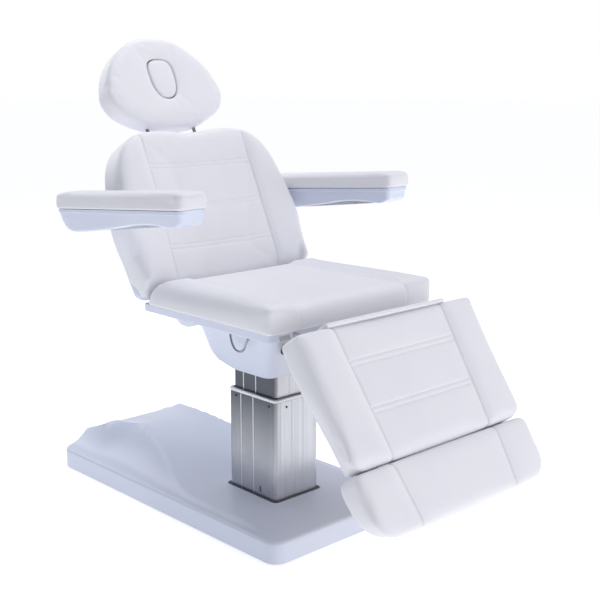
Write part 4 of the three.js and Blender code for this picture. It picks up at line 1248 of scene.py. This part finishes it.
def headrest_board():
    outline = head_outline(12)
    near, far = HEAD_THICK + 0.3, HEAD_THICK + 10.3
    hole = matching(outline, plug_outline(1.0, 400))
    loops = [level(outline, near)]
    for inset, drop in rounding(5, (0, 30, 60, 90)):
        loops.append(level(moved_in(outline, inset), far - drop))
    loops.append(level(moved_in(outline, 7), far))
    for inset, drop in rounding(2, (90, 45, 0)):
        loops.append(level(moved_in(hole, -inset), far - drop))
    loops.append(level(hole, near))
    piece("headrest_back_moulding", loft(loops, ring=True), HEAD, "headrest", "white_plastic",
          ["headrest_board"])
    spots = [(150, 82), (-150, 82), (118, 196), (-118, 196), (0, 240), (0, 22)]
    rear_screws("headrest_back_screws", spots, far, 3.8, HEAD, "headrest")


# ---------- armrest shells ----------
SHELL_LOW = [(-491, 14), (-488, 6), (-480, -3), (-464, -10), (-444, -14), (-423, -13), (-377, -8),
             (-330, -7), (-283, -9), (-202, -18), (-110, -27), (-20, -33), (25, -33), (50, -24), (72, -4),
             (80, 2), (90, 8)]


def shell_low(ring, lift=0.0):
    """The ring of (x, depth) points as a loop that follows the shell's underside, lifted from it."""
    curve = spline(SHELL_LOW, 8)
    return flat(ring, np.interp(ring[:, 1], curve[:, 0], curve[:, 1]) + lift)


def arm_shells():
    top, step, side_lean, edge = PAD_LOW - 0.3, 22, 4, 7
    for side, sign in SIDES:
        x0, x1 = span(sign, ARM_INNER + 3, ARM_OUTER - 3)
        outline = rounded(x0, x1, ARM_FRONT + 7, ARM_REAR - 6, 20, step=3)
        loops = [flat(moved_in(outline, inset), rise)
                 for inset, rise in ((6, top), (0.6, top), (0, top - 0.6), (0, step + 0.8), (0.8, step),
                                     (2.4, step - 0.4))]
        for share in np.linspace(0.08, 1, 12):
            low = shell_low(moved_in(outline, 2.4 + side_lean * share), edge)
            low[:, 2] = (step - 0.4) * (1 - share) + low[:, 2] * share
            loops.append(low)
        for inset, lift in rounding(edge, (22, 45, 67, 90)):
            loops.append(shell_low(moved_in(outline, 2.4 + side_lean + inset), lift))
        loops.append(shell_low(moved_in(outline, 17)))
        ring, middle = moved_in(outline, 19.5), (x0 + x1) / 2
        narrow = ring.copy()
        for share in (4.5 / 25.5, 12.5 / 25.5, 20.5 / 25.5):
            narrow[:, 0] = ring[:, 0] + (middle - ring[:, 0]) * share
            loops.append(shell_low(narrow))
        narrow[:, 0] = middle + (narrow[:, 0] - middle) * 0.04
        loops.append(shell_low(narrow))
        piece("armrest_shell_moulding_" + side, loft(loops), ARM, "armrest_" + side, "white_plastic",
              ["armrest_shell_" + side], sharp=34)


# ---------- leg rest ----------
BRACKET_BEND = np.array([(76.6, 86), (79.6, 86), (79.6, 104), (98, 116), (96, 130), (93.5, 130),
                         (94.5, 117.6), (76.6, 106)])


def leg_brackets():
    """Bent steel bracket on each side behind the leg rest's upper corner."""
    for side, sign in SIDES:
        rings = [np.insert(BRACKET_BEND, 0, sign * x, axis=1) for x in (268, 304)]
        piece("leg_corner_bracket_" + side, loft(rings), LEG, "legrest", "steel", bevel=0.6)


def rest_boards():
    """Plywood behind the leg and foot cushions, cut back at the corners like them."""
    leg, foot = rounded(-292, 292, -229, 86, 26, 16), rounded(-286, 286, -404, -276, 58, 18)
    leg[:, 0] *= 1 - 0.06 * smooth((40 - leg[:, 1]) / 260)
    for node, body, panel in (("leg_board", "legrest", leg), ("foot_board", "footrest", foot)):
        shape = loft([level(panel, LEG_THICK + 0.3), level(panel, LEG_THICK + 8.3)])
        piece(node + "_panel", shape, LEG, body, "plywood", [node], bevel=0.8)


# ---------- the room ----------
def aimed(name, data, place, ahead):
    """A camera or light at a place, in metres, looking ahead."""
    made = linked(name, data)
    made.location = place
    made.rotation_mode = "QUATERNION"
    made.rotation_quaternion = ahead.to_track_quat("-Z", "Y")
    return made


CAMERA_AT, CAMERA_TURN, CAMERA_TILT = (-2061.7, -2304.0, 1303.7), math.radians(43.275), math.radians(12.114)


def camera():
    """The photograph's view: from the front on the bed's right side, turned towards +X and tilted down."""
    data = bpy.data.cameras.new("camera")
    data.sensor_width = 36
    data.lens = 65.72
    data.clip_start, data.clip_end = 0.1, 100
    level_way = Vector((math.sin(CAMERA_TURN), math.cos(CAMERA_TURN), 0)) * math.cos(CAMERA_TILT)
    ahead = level_way - Vector((0, 0, math.sin(CAMERA_TILT)))
    bpy.context.scene.camera = aimed("camera", data, BED.at(*CAMERA_AT), ahead)


def softbox(name, place, target, size, power):
    data = bpy.data.lights.new(name, "AREA")
    data.shape = "RECTANGLE"
    data.size, data.size_y = size
    data.energy = power
    aimed(name, data, place, Vector(target) - Vector(place))


def sky():
    """An even sky, dimmer on the bed's right side, that the camera sees as white."""
    world = bpy.data.worlds.new("studio")
    bpy.context.scene.world = world
    world.use_nodes = True
    tree = world.node_tree

    def mixed(factor, a, b):
        mix = tree.nodes.new("ShaderNodeMix")
        mix.data_type = "RGBA"
        tree.links.new(factor, mix.inputs["Factor"])
        if isinstance(a, tuple):
            mix.inputs["A"].default_value = a
        else:
            tree.links.new(a, mix.inputs["A"])
        mix.inputs["B"].default_value = b
        return mix.outputs["Result"]

    way = tree.nodes.new("ShaderNodeSeparateXYZ")
    tree.links.new(tree.nodes.new("ShaderNodeTexCoord").outputs["Generated"], way.inputs[0])
    ramp = tree.nodes.new("ShaderNodeMapRange")
    tree.links.new(way.outputs["X"], ramp.inputs["Value"])
    ramp.inputs["From Min"].default_value, ramp.inputs["From Max"].default_value = -0.9, 0.1
    light = mixed(ramp.outputs["Result"], (0.20, 0.22, 0.27, 1), (0.64, 0.64, 0.67, 1))
    seen = tree.nodes.new("ShaderNodeLightPath").outputs["Is Camera Ray"]
    tree.links.new(mixed(seen, light, (1, 1, 1, 1)), tree.nodes["Background"].inputs["Color"])


def floor():
    radius, sides = 40, 96
    cosine, sine = circle(sides)
    mesh = bpy.data.meshes.new("floor")
    mesh.from_pydata((np.stack([cosine, sine, 0 * sine], 1) * radius).tolist(), [], [tuple(range(sides))])
    paper = Finish("floor_paper", (0.92, 0.92, 0.93), 0.9, Emission_Color=(1, 1, 1, 1), Emission_Strength=0.5)
    paper.tint(paper.noise(3, 2), (0.90, 0.90, 0.915), 0.4, 0.7)
    paper.bump(paper.noise(300, 2), 0.1, 0.1)
    mesh.materials.append(paper.material)
    linked("floor", mesh)


def room():
    """Plain pale floor, a pale sky and three softboxes."""
    sky()
    floor()
    softbox("key", (0.3, 0.7, 3.6), (0, 0, 0.5), (3.0, 3.0), 52)
    softbox("front", (1.2, -3.8, 0.9), (0, 0, 0.6), (2.4, 1.6), 30)
    softbox("fill", (-0.4, 2.6, 1.7), (0, 0.3, 0.1), (1.6, 1.2), 9)
    bpy.context.scene.view_settings.view_transform = "Standard"


# ---------- everything ----------
camera()
finish_frame()
cushions = [seat_cushion(), back_cushion(), leg_cushion(), foot_cushion(), head_cushion(), plug_cushion(),
            *arm_pads(), leg_flap()]
inflate(cushions)
for cushion in cushions:
    cushion.sew()
base_cover()
base_fittings()
inlet()
column()
shroud()
tray()
tray_bosses()
hooks()
shafts()
back_shell()
spindles()
headrest_posts()
headrest_board()
arm_shells()
leg_brackets()
rest_boards()
room()
